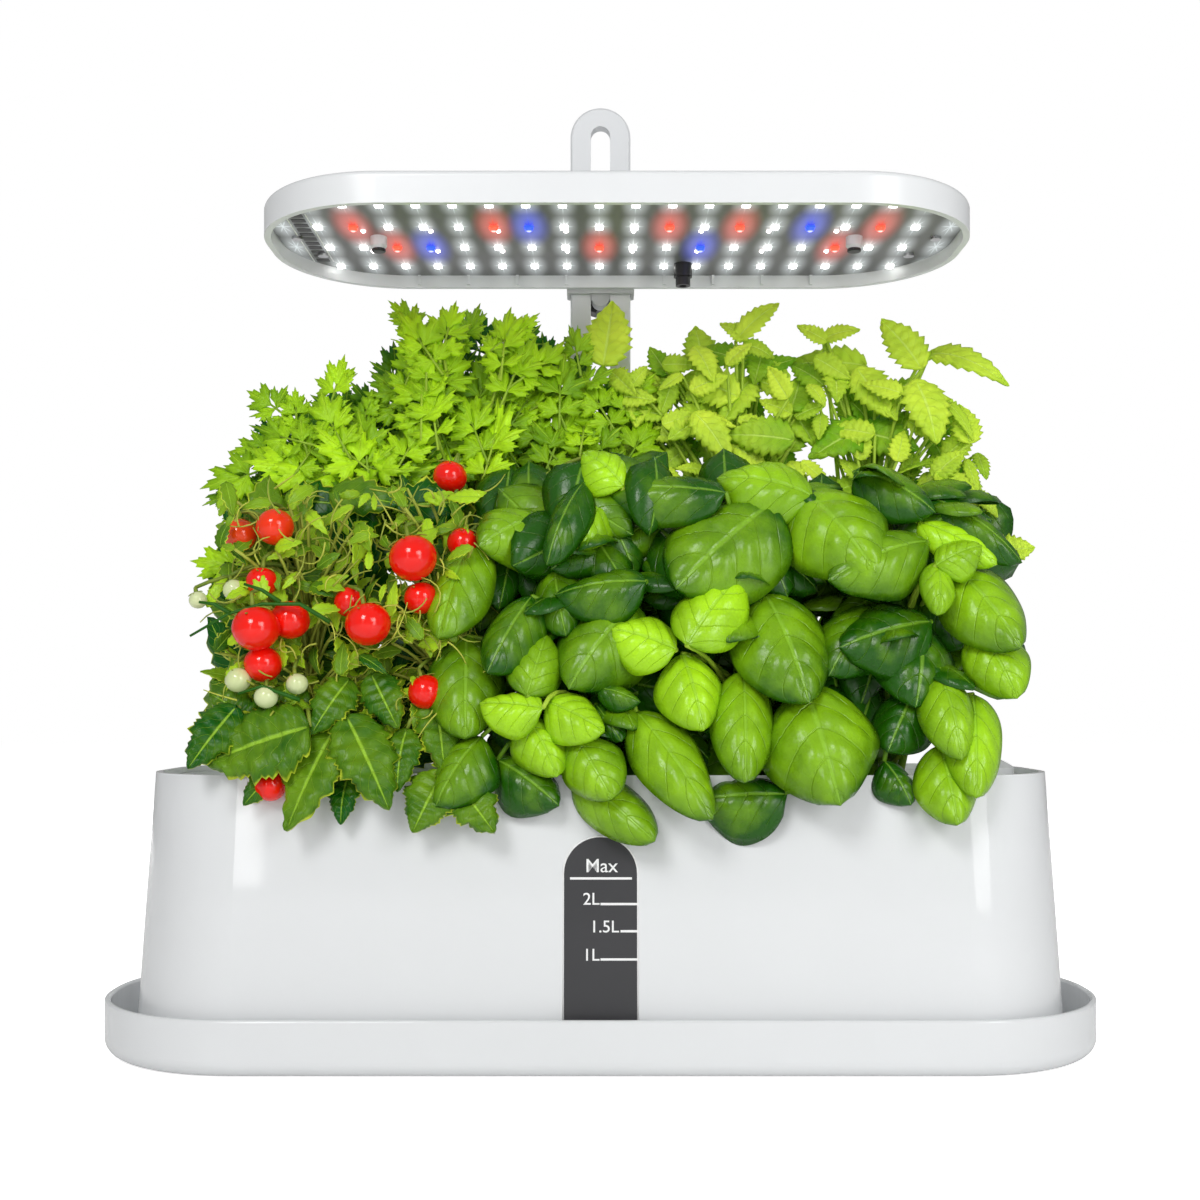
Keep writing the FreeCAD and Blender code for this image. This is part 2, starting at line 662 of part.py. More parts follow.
def carriage_y():
    """Front face, mast room front, mast room back and back face of the carriage."""
    front = LAMP_Y + LAMP_HALF_Y
    room_front = MAST_Y - MAST_T / 2 - GAP
    room_back = MAST_Y + MAST_T / 2 + GAP
    return front, room_front, room_back, room_back + CARRIAGE_BACK


def lamp_bracket():
    """Collar round the mast with a key that runs in the mast's slot."""
    front, room_front, room_back, back = carriage_y()
    half_x = MAST_W / 2 + GAP + CARRIAGE_SIDE
    high = CARRIAGE_LOW + CARRIAGE_H
    collar = block(-half_x, half_x, front, back, CARRIAGE_LOW, high)
    uprights = [e for e in collar.Edges
                if e.BoundBox.ZLength > CARRIAGE_H - 0.1 and e.BoundBox.YMin > room_back]
    collar = collar.makeFillet(CARRIAGE_BACK * 0.7, uprights)
    room = MAST_W / 2 + GAP
    collar = collar.cut(block(-room, room, room_front, room_back, CARRIAGE_LOW - 1, high + 1))
    key = long_slot(0, MAST_SLOT_W / 2 - GAP, KEY_LOW, KEY_HIGH, room_front - 0.5, room_back + 0.5)
    body = collar.fuse(key)
    cuts = [rod(V(0, room_back - STUD_SEAT, STUD_Z), V(0, 1, 0), STUD_R, back - room_back + STUD_SEAT + 1)]
    for side in (-1, 1):
        cuts.append(rod(V(side * BRACKET_SCREW_X, front - 1, bracket_screw_z()), V(0, 1, 0), BRACKET_SCREW_R,
                        room_front - front + 1))
    return body.cut(cuts).removeSplitter()


def bracket_screws():
    front, room_front, room_back, back = carriage_y()
    wall_y = front - LAMP_WALL
    head_r = (LAMP_TOP - LAMP_ROOF - BOARD_LOW - BOARD_T) / 2 - SLIP
    screws = []
    for side in (-1, 1):
        at = V(side * BRACKET_SCREW_X, wall_y, bracket_screw_z())
        shaft = rod(at, V(0, 1, 0), BRACKET_SCREW_R, room_front - wall_y - GAP)
        head = rod(at - V(0, BRACKET_SCREW_HEAD, 0), V(0, 1, 0), head_r, BRACKET_SCREW_HEAD)
        screws.append(shaft.fuse(head))
    return Part.makeCompound(screws)


def clamp_stud():
    front, room_front, room_back, back = carriage_y()
    start = room_back - STUD_SEAT
    return rod(V(0, start, STUD_Z), V(0, 1, 0), STUD_R, back + KNOB_COLLAR_T + KNOB_T - start - STUD_SHORT)


def clamp_knob():
    """Lobed hand knob behind the mast, on the clamp's stud."""
    back = carriage_y()[3]
    along = V(0, 1, 0)
    collar = rod(V(0, back, STUD_Z), along, KNOB_COLLAR_R, KNOB_COLLAR_T + 0.5)
    grip = rod(V(0, back + KNOB_COLLAR_T, STUD_Z), along, KNOB_R, KNOB_T)
    grip = grip.makeFillet(1.6, [e for e in grip.Edges if e.BoundBox.YLength < 1e-6])
    cuts = [rod(V(0, back - 1, STUD_Z), along, STUD_R + FIT, KNOB_COLLAR_T + KNOB_T)]
    for k in range(KNOB_LOBES):
        a = 2 * math.pi * k / KNOB_LOBES
        far = KNOB_R + KNOB_LOBE_R * 0.45
        cuts.append(rod(V(far * math.cos(a), back + KNOB_COLLAR_T - 1, STUD_Z + far * math.sin(a)), along,
                        KNOB_LOBE_R, KNOB_T + 2))
    return grip.fuse(collar).cut(cuts)


def pump_axis():
    return TANK_FLOOR_Z + PUMP_H / 2 - 1.0


def pump_body():
    x1 = PUMP_X + PUMP_L / 2
    case = slab(PUMP_X, 0, PUMP_L / 2, PUMP_W / 2, PUMP_EDGE, TANK_FLOOR_Z, TANK_FLOOR_Z + PUMP_H)
    case = case.makeFillet(2.0, level_edges(case, TANK_FLOOR_Z + PUMP_H))
    chamber = rod(V(x1 - CHAMBER_D, 0, pump_axis()), V(1, 0, 0), CHAMBER_R, CHAMBER_D + 1)
    seat = rod(V(x1 - CHAMBER_D - SHAFT_SEAT, 0, pump_axis()), V(1, 0, 0), SHAFT_R, SHAFT_SEAT + 1)
    port = disc(x1 - CHAMBER_D / 2, 0, SPOUT_R - SPOUT_WALL, pump_axis(), TANK_FLOOR_Z + PUMP_H + 1)
    return case.cut([chamber, seat, port])


def pump_cover():
    """Strainer plate that closes the pump chamber and holds the shaft's end."""
    x1 = PUMP_X + PUMP_L / 2
    z0 = TANK_FLOOR_Z
    plate = block(x1, x1 + COVER_PLATE_T, -PUMP_W / 2 + 1, PUMP_W / 2 - 1, z0, z0 + PUMP_H - 2)
    ups = [e for e in plate.Edges if e.BoundBox.XLength > COVER_PLATE_T - 0.1]
    plate = plate.makeFillet(2.5, ups)
    cuts = [rod(V(x1 - 1, 0, pump_axis()), V(1, 0, 0), SHAFT_R, COVER_PLATE_T - 0.4)]
    for side in (-1, 1):
        for k in range(STRAINER_COUNT):
            y = side * (2.8 + k * STRAINER_PITCH)
            cuts.append(block(x1 - 1, x1 + COVER_PLATE_T + 1, y - STRAINER_W / 2, y + STRAINER_W / 2,
                              pump_axis() - CHAMBER_R * 0.6, pump_axis() + CHAMBER_R * 0.6))
    return plate.cut(cuts)


def pump_shaft():
    x1 = PUMP_X + PUMP_L / 2
    start = x1 - CHAMBER_D - SHAFT_SEAT
    return rod(V(start, 0, pump_axis()), V(1, 0, 0), SHAFT_R, x1 + COVER_PLATE_T - 1.4 - start)


def pump_impeller():
    """Hub with flat blades that runs on the fixed shaft."""
    x0 = PUMP_X + PUMP_L / 2 - CHAMBER_D + (CHAMBER_D - IMPELLER_L) / 2
    z = pump_axis()
    hub = rod(V(x0, 0, z), V(1, 0, 0), IMPELLER_HUB_R, IMPELLER_L)
    blades = []
    for k in range(BLADES):
        blade = block(x0, x0 + IMPELLER_L - BLADE_SHORT, -BLADE_T / 2, BLADE_T / 2, z, z + IMPELLER_R)
        blade.rotate(V(0, 0, z), V(1, 0, 0), 360 / BLADES * k)
        blades.append(blade)
    bore = rod(V(x0 - 1, 0, z), V(1, 0, 0), SHAFT_R + FIT, IMPELLER_L + 2)
    return hub.fuse(blades).cut(bore)


def pump_spout():
    x = PUMP_X + PUMP_L / 2 - CHAMBER_D / 2
    top = TANK_FLOOR_Z + PUMP_H
    spout = disc(x, 0, SPOUT_R, top, top + SPOUT_H)
    spout = spout.fuse(disc(x, 0, SPOUT_FLANGE_R, top, top + SPOUT_FLANGE_T))
    return spout.cut(disc(x, 0, SPOUT_R - SPOUT_WALL, top - 1, top + SPOUT_H + 1))


def blade_plate(length, width):
    """A leaf blade: two arcs that meet in a base and a tip, a little thick, along +X."""
    tip = V(length, 0, 0)
    upper = Part.Arc(V(0, 0, 0), V(length * 0.46, width / 2, 0), tip).toShape()
    lower = Part.Arc(tip, V(length * 0.46, -width / 2, 0), V(0, 0, 0)).toShape()
    return Part.Face(Part.Wire([upper, lower])).extrude(V(0, 0, LEAF_T))


def stalked_leaf(root, azimuth, reach, width, rise, droop):
    """A stalk that rises from root, then a blade that droops; reach is the level distance."""
    stalk = reach * 0.3
    blade = reach - stalk
    tilt = math.radians(droop)
    plate = blade_plate(blade / math.cos(tilt), width)
    plate.rotate(V(0, 0, 0), V(0, 1, 0), droop)
    lift = stalk * math.tan(math.radians(rise))
    plate.translate(V(stalk - 0.8, 0, lift - LEAF_T / 2))
    line = rod(V(0, 0, 0), V(stalk, 0, lift), STALK_R, math.hypot(stalk, lift) + 0.6)
    leaf = plate.fuse(line)
    leaf.rotate(V(0, 0, 0), UP, azimuth)
    leaf.translate(root)
    return leaf


def cell_of(column, row, x):
    """Level box that a plant may fill: x low, x high, y low, y high."""
    x_low = x - POD_PITCH / 2 + CELL_GAP
    x_high = x + POD_PITCH / 2 - CELL_GAP
    if column == 0:
        x_low = -CELL_END_X
    if column == POD_COLUMNS - 1:
        x_high = CELL_END_X
    if row == 0:
        return x_low, x_high, CELL_FRONT_Y, CELL_SPLIT_Y - CELL_GAP
    return x_low, x_high, CELL_SPLIT_Y + CELL_GAP, CELL_BACK_Y


def reach_in(cell, x, y, azimuth, width):
    """How far a leaf of this width may go from (x, y) without leaving its cell."""
    c = math.cos(math.radians(azimuth))
    s = math.sin(math.radians(azimuth))
    room_x = cell[1] - x if c > 0 else x - cell[0]
    room_y = cell[3] - y if s > 0 else y - cell[2]
    limits = [200.0]
    for along, across, room in ((abs(c), abs(s), room_x), (abs(s), abs(c), room_y)):
        if along > 0.02:
            limits.append(room / along)
            limits.append((room - across * width / 2) / along / 0.62)
    return min(limits)


def up_to(share):
    """Height at a share of the room between the deck and the lamp."""
    return DECK_TOP + share * LEAF_ROOM


def bush(place, top, first_leaf, count, width, rise, droop, turn):
    """An upright plant: a stem with leaves set round it in the golden angle."""
    column, row, x, y = place
    cell = cell_of(column, row, x)
    foot = DECK_TOP - SPONGE_TOP_DROP - STEM_HOLE_DEPTH
    stem_top = up_to(top)
    lowest = up_to(first_leaf)
    stem = disc(x, y, STEM_R, foot, stem_top)
    leaves = []
    for k in range(count):
        azimuth = (turn + 137.5 * k) % 360
        z = lowest + (stem_top - lowest) * (k + 0.5) / count
        reach = min(LEAF_REACH, reach_in(cell, x, y, azimuth, width))
        leaves.append(stalked_leaf(V(x, y, z), azimuth, reach, width, rise, droop))
    return stem.fuse(leaves)


def spray(place, crown, top, count, turn):
    """A parsley-like plant: long stalks from a low crown, each with a three-part leaf."""
    column, row, x, y = place
    cell = cell_of(column, row, x)
    foot = DECK_TOP - SPONGE_TOP_DROP - STEM_HOLE_DEPTH
    crown_z = up_to(crown)
    root = V(x, y, crown_z - STEM_R)
    pieces = []
    for k in range(count):
        azimuth = (turn + 137.5 * k) % 360
        rise = (up_to(top) - crown_z) * (0.62 + 0.38 * k / (count - 1))
        reach = reach_in(cell, x, y, azimuth, LEAFLET_L) - LEAFLET_L
        reach = max(STEM_R * 2, min(reach, SPRAY_REACH))
        along = V(reach * math.cos(math.radians(azimuth)), reach * math.sin(math.radians(azimuth)), rise)
        pieces.append(rod(root, along, STALK_R, along.Length))
        for swing in (-LEAFLET_SWING, 0, LEAFLET_SWING):
            blade = blade_plate(LEAFLET_L, LEAFLET_W)
            blade.rotate(V(0, 0, 0), V(0, 1, 0), LEAFLET_TILT)
            blade.translate(V(-STALK_R, 0, -LEAF_T))
            blade.rotate(V(0, 0, 0), UP, azimuth + swing)
            blade.translate(root + along)
            pieces.append(blade)
    return disc(x, y, STEM_R, foot, crown_z).fuse(pieces)


def berry(middle):
    """A round fruit with a small flat at its stalk and at its base."""
    return Part.makeSphere(BERRY_R, middle, UP, -BERRY_POLE, BERRY_POLE, 360)


def fruit_on(plant, place, spots):
    """Fruit beside the stem, each on a short stalk; spots are steps of the fruit's radius
    sideways and forwards, and a share of the room under the lamp."""
    column, row, x, y = place
    pieces = []
    for right, back, share in spots:
        middle = V(x + right * BERRY_R, y + back * BERRY_R, up_to(share))
        root = V(x, y, middle.z + FRUIT_DROP)
        pieces.append(berry(middle))
        pieces.append(rod(root, middle - root, STALK_R, (middle - root).Length))
    return plant.fuse(pieces)


def plants():
    place = {(column, row): (column, row, x, y) for column, row, x, y in pod_places()}
    made = {
        "parsley_1": spray(place[0, 1], 0.09, 0.74, 8, 170),
        "parsley_2": spray(place[1, 1], 0.10, 0.88, 8, 40),
        "parsley_3": spray(place[2, 1], 0.10, 0.85, 8, 95),
        "balm_1": bush(place[3, 1], 0.91, 0.38, 11, 17.0, 35, 25, 20),
        "balm_2": bush(place[4, 1], 0.85, 0.37, 11, 17.0, 35, 25, 75),
        "tomato_1": bush(place[0, 0], 0.44, 0.11, 9, 20.0, 25, 40, 200),
        "tomato_2": bush(place[1, 0], 0.49, 0.13, 9, 20.0, 25, 40, 250),
        "basil_1": bush(place[2, 0], 0.48, 0.09, 12, 24.0, 30, 35, 265),
        "basil_2": bush(place[3, 0], 0.53, 0.09, 12, 26.0, 30, 35, 230),
        "basil_3": bush(place[4, 0], 0.49, 0.09, 12, 26.0, 30, 35, 300),
    }
    made["tomato_1"] = fruit_on(made["tomato_1"], place[0, 0],
                                [(-1.8, -2.5, 0.32), (0.75, -3.0, 0.26), (-0.25, -2.75, 0.40),
                                 (-3.5, -1.5, 0.21), (1.9, -2.0, 0.18)])
    made["tomato_2"] = fruit_on(made["tomato_2"], place[1, 0],
                                [(-2.0, -2.5, 0.27), (-0.25, -3.0, 0.39), (1.0, -1.75, 0.49),
                                 (0.0, -3.0, 0.17)])
    return made


def build():
    nodes = {
        "drip_tray": drip_tray(),
        "water_tank": water_tank(),
        "level_window": level_window(),
        "tank_feet": tank_feet(),
        "grow_deck": grow_deck(),
        "grow_sponges": Part.makeCompound([sponge(x, y) for column, row, x, y in pod_places()]),
        "inlet_cover": inlet_cover(),
        "inlet_pin": inlet_pin(),
        "mast_socket": mast_socket(),
        "mast": mast(),
        "socket_screws": socket_screws(),
        "lamp_housing": lamp_housing(),
        "led_board": led_board(),
        "leds_white": chips("W"),
        "leds_red": chips("R"),
        "leds_blue": chips("B"),
        "leds_small": small_chips(),
        "board_screws": board_screws(),
        "lamp_posts": lamp_posts(),
        "dc_jack": dc_jack(),
        "button_switches": button_switches(),
        "lamp_bracket": lamp_bracket(),
        "bracket_screws": bracket_screws(),
        "clamp_stud": clamp_stud(),
        "clamp_knob": clamp_knob(),
        "pump_body": pump_body(),
        "pump_cover": pump_cover(),
        "pump_shaft": pump_shaft(),
        "pump_impeller": pump_impeller(),
        "pump_spout": pump_spout(),
    }
    for name, x in button_places().items():
        nodes[name] = button(x)
    for number, (column, row, x, y) in enumerate(pod_places(), 1):
        nodes["basket_%d" % number] = basket(x, y)
    nodes.update(plants())
    return nodes


os.makedirs("parts", exist_ok=True)
for name, shape in build().items():
    shape.exportStep("parts/" + name + ".step")
    print(name, len(shape.Solids), shape.isValid(), round(sum(s.Volume for s in shape.Solids) / 1000, 2))
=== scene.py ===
import math
import random

import bmesh
import bpy
import numpy as np
from mathutils import Matrix, Vector


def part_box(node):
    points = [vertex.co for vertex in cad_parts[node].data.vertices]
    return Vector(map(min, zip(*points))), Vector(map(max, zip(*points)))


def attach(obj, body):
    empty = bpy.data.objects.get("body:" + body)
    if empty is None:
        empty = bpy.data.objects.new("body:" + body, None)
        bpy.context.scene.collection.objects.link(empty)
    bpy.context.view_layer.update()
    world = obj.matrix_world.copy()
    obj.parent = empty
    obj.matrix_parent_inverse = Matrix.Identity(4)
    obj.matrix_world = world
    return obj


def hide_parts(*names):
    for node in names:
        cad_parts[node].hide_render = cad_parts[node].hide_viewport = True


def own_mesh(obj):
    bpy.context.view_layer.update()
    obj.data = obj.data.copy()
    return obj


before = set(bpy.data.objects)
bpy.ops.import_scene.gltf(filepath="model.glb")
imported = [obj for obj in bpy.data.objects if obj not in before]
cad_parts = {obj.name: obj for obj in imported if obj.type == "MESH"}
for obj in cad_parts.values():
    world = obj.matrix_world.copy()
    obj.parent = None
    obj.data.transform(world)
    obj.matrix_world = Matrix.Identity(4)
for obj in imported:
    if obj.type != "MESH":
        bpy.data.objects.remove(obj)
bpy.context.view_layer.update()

MM = 0.001

# The camera, which looks level from a little above the tank's rim, and its picture's scale
EYE_X = 0.0
EYE_Y = -0.600
EYE_Z = 0.136
PICTURE = 1200
CENTRE_PX = 600.5
HORIZON_PY = 700.0
LENS_MM = 45.0
SENSOR_MM = 36.0
FOCAL_PX = LENS_MM / SENSOR_MM * PICTURE

# Places read from the frame
SPONGE_DROP = 1.5 * MM    # how far the sponges' tops lie under the deck's top
DECK_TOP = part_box("grow_sponges")[1][2] + SPONGE_DROP
TANK_LOW, TANK_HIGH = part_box("water_tank")
BOARD_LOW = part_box("led_board")[0][2]
LAMP_LOW, LAMP_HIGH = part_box("lamp_housing")
LAMP_X = (LAMP_LOW[0] + LAMP_HIGH[0]) / 2
LAMP_Y = (LAMP_LOW[1] + LAMP_HIGH[1]) / 2
TANK_RIM_HALF_Y = 52.0 * MM
TANK_BASE_HALF_Y = 56.5 * MM
WINDOW_LOW, WINDOW_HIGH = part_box("level_window")
POD_XS = [x * MM for x in (-112, -56, 0, 56, 112)]
POD_FRONT_Y = -24.0 * MM
POD_BACK_Y = 18.0 * MM

FLOOR_GLOW = 0.72        # what the camera alone sees the floor give off
SKY_STRENGTH = 0.30      # the sky's light; the camera sees it at 1.0
GOLDEN_TURN = 2.39996    # radians; spreads leaves evenly round a stem
MARKS_Y = -0.054         # about where the tank's front lies behind the fill marks
TOMATO_KEEP = 0.66       # share of its height that a tomato plant should keep under the lowered lamp; handed to Plant.finish

rng = random.Random(7)
draw = rng.uniform


def swing(reach):
    """A seeded number between -reach and reach."""
    return draw(-reach, reach)


def seen_at(px, py, y):
    """The point at depth y that the camera sees at a pixel of the photograph's frame."""
    reach = (y - EYE_Y) / FOCAL_PX
    return Vector(((px - CENTRE_PX) * reach + EYE_X, y, (HORIZON_PY - py) * reach + EYE_Z))


def px_size(length_px, y):
    return length_px * (y - EYE_Y) / FOCAL_PX


class Value:
    """A shader number that Python's operators build Math nodes on."""

    def __init__(self, shader, socket):
        self.shader = shader
        self.socket = socket

    def math(self, operation, *others):
        return self.shader.node("ShaderNodeMath", {"operation": operation}, self, *others)

    def __add__(self, other):
        return self.math("ADD", other)

    def __radd__(self, other):
        return self.math("ADD", other)

    def __sub__(self, other):
        return self.math("SUBTRACT", other)

    def __rsub__(self, other):
        return self.shader.node("ShaderNodeMath", {"operation": "SUBTRACT"}, other, self)

    def __mul__(self, other):
        return self.math("MULTIPLY", other)

    def __rmul__(self, other):
        return self.math("MULTIPLY", other)

    def __truediv__(self, other):
        return self.math("DIVIDE", other)

    def __pow__(self, other):
        return self.math("POWER", other)

    def abs(self):
        return self.math("ABSOLUTE")

    def fract(self):
        return self.math("FRACT")

    def less(self, limit):
        return self.math("LESS_THAN", limit)

    def step(self, low, high):
        """0 below low, 1 above high, smooth between."""
        node = self.shader.tree.nodes.new("ShaderNodeMapRange")
        node.interpolation_type = "SMOOTHSTEP"
        self.shader.link(self, node.inputs["Value"])
        node.inputs["From Min"].default_value = low
        node.inputs["From Max"].default_value = high
        return Value(self.shader, node.outputs["Result"])


class Shader:
    """A material with one Principled surface, built from Python expressions."""

    def __init__(self, name, colour, roughness, **fixed):
        self.material = bpy.data.materials.new(name)
        self.material.use_nodes = True
        self.tree = self.material.node_tree
        self.surface = self.tree.nodes["Principled BSDF"]
        self.surface.inputs["Base Color"].default_value = (*colour, 1)
        self.surface.inputs["Roughness"].default_value = roughness
        for socket, value in fixed.items():
            self.surface.inputs[socket.replace("_", " ")].default_value = value

    def link(self, value, socket):
        if isinstance(value, Value):
            self.tree.links.new(value.socket, socket)
        elif isinstance(value, bpy.types.NodeSocket):
            self.tree.links.new(value, socket)
        elif isinstance(value, tuple) and socket.type == "RGBA":
            socket.default_value = (*value[:3], 1)
        else:
            socket.default_value = value

    def node(self, kind, settings, *inputs, out=0, **named):
        made = self.tree.nodes.new(kind)
        for key, value in settings.items():
            setattr(made, key, value)
        for k, value in enumerate(inputs):
            self.link(value, made.inputs[k])
        for key, value in named.items():
            self.link(value, made.inputs[key.replace("_", " ")])
        return Value(self, made.outputs[out])

    def axes(self, source):
        split = self.tree.nodes.new("ShaderNodeSeparateXYZ")
        self.link(source, split.inputs[0])
        return [Value(self, split.outputs[k]) for k in range(3)]

    def object_xyz(self):
        return self.axes(self.node("ShaderNodeTexCoord", {}, out="Object"))

    def noise(self, scale, detail=2.0, rough=0.5):
        place = self.node("ShaderNodeTexCoord", {}, out="Object")
        return self.node("ShaderNodeTexNoise", {}, out="Fac", Vector=place, Scale=scale, Detail=detail,
                         Roughness=rough)

    def uv(self):
        return self.axes(self.node("ShaderNodeUVMap", {}))[:2]

    def attribute(self, name):
        return self.node("ShaderNodeAttribute", {"attribute_name": name}, out="Fac")

    def mix(self, factor, first, second):
        made = self.tree.nodes.new("ShaderNodeMix")
        made.data_type = "RGBA"
        made.clamp_factor = True
        for value, socket in ((factor, made.inputs[0]), (first, made.inputs[6]), (second, made.inputs[7])):
            self.link(value, socket)
        return Value(self, made.outputs[2])

    def set(self, socket, value):
        self.link(value, self.surface.inputs[socket])

    def bump(self, height, strength, distance):
        self.set("Normal", self.node("ShaderNodeBump", {}, Strength=strength, Distance=distance,
                                     Height=height))


def shaded(colour, share):
    return tuple(min(1, c * share) for c in colour)


def shell_plastic(name, colour, roughness=0.055):
    """White moulded plastic: hardly visible mottling, a faint sheen change and fine texture."""
    s = Shader(name, colour, roughness)
    s.set("Base Color", s.mix(s.noise(22.0, 3.0), shaded(colour, 0.975), shaded(colour, 1.015)))
    s.set("Roughness", roughness + 0.02 * (s.noise(60.0) - 0.5))
    s.bump(s.noise(1800.0, 2.0), 0.008, 0.0002)
    return s.material


def dark_plastic(name, colour, roughness):
    s = Shader(name, colour, roughness)
    s.set("Base Color", s.mix(s.noise(90.0, 4.0), shaded(colour, 0.8), shaded(colour, 1.25)))
    s.set("Roughness", roughness + 0.15 * (s.noise(240.0) - 0.5))
    s.bump(s.noise(2600.0, 3.0), 0.18, 0.0002)
    return s.material


def powder_coat(name, colour):
    s = Shader(name, colour, 0.34)
    s.set("Base Color", s.mix(s.noise(30.0), shaded(colour, 0.97), colour))
    s.set("Roughness", 0.34 + 0.1 * (s.noise(300.0) - 0.5))
    s.bump(s.noise(3400.0, 2.0), 0.12, 0.0002)
    return s.material


def brushed(name, colour, roughness):
    s = Shader(name, colour, roughness, Metallic=1.0)
    s.set("Roughness", roughness + 0.2 * (s.noise(700.0, 4.0) - 0.5))
    s.set("Base Color", s.mix(s.noise(160.0), shaded(colour, 0.85), colour))
    return s.material


# How much longer along Y a glow is drawn, so that it looks round from the camera's low seat
GLOW_STRETCH = 3.2


def board_metal(spots):
    """Grey light board that gives off painted light, a soft glow and a small starburst of glints round each
    chip; spots are (x, y, colour).
    """
    s = Shader("lamp_board", (0.15, 0.15, 0.146), 0.42, Metallic=0.25)
    x, y, _ = s.object_xyz()
    s.set("Base Color", s.mix(s.noise(40.0, 3.0), (0.085, 0.083, 0.08), (0.15, 0.147, 0.142)))
    pitch_x = 13.35 * MM
    pitch_y = 25.6 * MM
    across = (((x - LAMP_X) / pitch_x).fract() - 0.5) * pitch_x
    along = (((y - LAMP_Y) / pitch_y).fract() - 0.5) * (pitch_y / GLOW_STRETCH)
    away = (across ** 2 + along ** 2) ** 0.5
    # Painted light: the board is no lamp, yet it gives off a soft glow and a starburst of glints round
    # every chip
    painted_halo = 1 - away.step(0.0006, 0.0064)
    ray_width = 0.00022
    slant_width = ray_width * 1.4
    rays = across.abs().less(ray_width).math("MAXIMUM", along.abs().less(ray_width))
    rising = (across + along).abs().less(slant_width)
    slants = (across - along).abs().less(slant_width).math("MAXIMUM", rising)
    painted_star_glint = rays * (1 - away.step(0.0015, 0.0042)) + slants * (1 - away.step(0.0015, 0.0034))
    glow = s.mix(painted_halo * 0.50 + painted_star_glint * 0.30 + 0.04, (0.0, 0.0, 0.0), (0.86, 0.93, 0.95))
    # Painted light: a coloured glow round each red and blue chip, given off by the board
    for spot_x, spot_y, colour in spots:
        off = ((x - spot_x) ** 2 + ((y - spot_y) / GLOW_STRETCH) ** 2) ** 0.5
        near = 1 - off.step(0.0008, 0.0095)
        glow = s.mix(near * (0.85 + 0.15 * painted_star_glint), glow, colour)
    s.set("Emission Color", glow)
    s.surface.inputs["Emission Strength"].default_value = 0.8
    return s.material


def lit(name, colour, strength, radius):
    """A lit chip: white-hot at the lowest place of its dome, coloured towards its rim."""
    s = Shader(name, colour, 0.3)
    depth = (BOARD_LOW - s.object_xyz()[2]) / radius
    s.set("Emission Color", s.mix(depth.step(0.86, 1.10), colour, tuple(0.35 + 0.65 * c for c in colour)))
    s.surface.inputs["Emission Strength"].default_value = strength
    return s.material


def veined_leaf(name, dark, light, vein, veins, gloss, vein_share=0.3, swell=0.0012, edge=None, shine=0.4,
                painted_edge_shade=0.0):
    """Leaf blade: UV u runs from stalk to tip, v across; side veins curve towards the tip."""
    s = Shader(name, dark, gloss, Specular_IOR_Level=shine)
    u, across = s.uv()
    tone = s.attribute("tone")
    side = (across * 2 - 1).abs()
    between = (((u - 0.34 * side ** 1.25) * veins).fract() - 0.5).abs() * 2
    rib_line = between.step(0.90, 1.0) * (1 - side.step(0.62, 0.95))
    mid_line = 1 - side.step(0.02, 0.07)
    mottle = s.noise(170.0, 4.0) - 0.5
    patch = s.noise(45.0, 2.0) - 0.5
    ends = (2 * u - 1).abs()
    # Painted shade: the blade is darkened towards its edges and ends
    body = s.mix(tone + 0.34 * mottle + 0.75 * patch - painted_edge_shade * (side ** 2.5 + ends ** 3), dark, light)
    body = s.mix(rib_line * vein_share, body, vein)
    body = s.mix(mid_line * (vein_share + 0.3), body, vein)
    if edge:
        body = s.mix((side + 0.35 * mottle).step(0.88, 1.0), body, edge)
    s.set("Base Color", body)
    s.set("Roughness", gloss + 0.18 * (s.noise(220.0) - 0.5))
    relief = (1 - rib_line) * 0.8 + (1 - mid_line) * 0.6 + 0.25 * s.noise(700.0, 3.0)
    s.bump(relief, 0.55, swell)
    return s.material


def stalk_green(name, dark, light, gloss=0.45):
    s = Shader(name, dark, gloss, Specular_IOR_Level=0.3)
    tone = s.attribute("tone")
    s.set("Base Color", s.mix(tone + 0.6 * (s.noise(120.0, 3.0) - 0.5), dark, light))
    s.bump(s.noise(1500.0, 3.0), 0.25, 0.0003)
    return s.material


def fruit_skin():
    """Tomato skin by the fruit's tone: red, orange or pale green."""
    s = Shader("tomato_skin", (0.95, 0.008, 0.002), 0.10, Coat_Weight=0.2, Coat_Roughness=0.04)
    tone = s.attribute("tone")
    ripe = s.mix(s.noise(60.0, 2.0), (0.86, 0.004, 0.001), (1.0, 0.012, 0.003))
    orange = s.mix(s.noise(50.0, 2.0), (0.95, 0.06, 0.006), (1.0, 0.15, 0.012))
    unripe = s.mix(s.noise(50.0, 2.0), (0.58, 0.68, 0.26), (0.82, 0.88, 0.56))
    warm = s.mix(tone.step(0.2, 0.5), ripe, orange)
    s.set("Base Color", s.mix(tone.step(0.6, 0.9), warm, unripe))
    s.set("Roughness", 0.10 + 0.08 * s.noise(300.0))
    return s.material


def peat_sponge():
    s = Shader("peat_sponge", (0.06, 0.04, 0.025), 0.95)
    s.set("Base Color", s.mix(s.noise(400.0, 5.0), (0.03, 0.018, 0.01), (0.13, 0.085, 0.05)))
    s.bump(s.noise(900.0, 6.0, 0.7), 0.9, 0.001)
    return s.material


def smoked_window():
    s = Shader("smoked_window", (0.056, 0.056, 0.059), 0.3, Specular_IOR_Level=0.3)
    s.set("Base Color", s.mix(s.noise(35.0, 2.0), (0.052, 0.052, 0.055), (0.060, 0.060, 0.064)))
    s.set("Roughness", 0.32 + 0.08 * (s.noise(200.0) - 0.5))
    return s.material


def mark_paint():
    s = Shader("mark_paint", (0.88, 0.88, 0.88), 0.5)
    s.set("Base Color", s.mix(s.noise(500.0), (0.84, 0.84, 0.84), (0.93, 0.93, 0.93)))
    return s.material


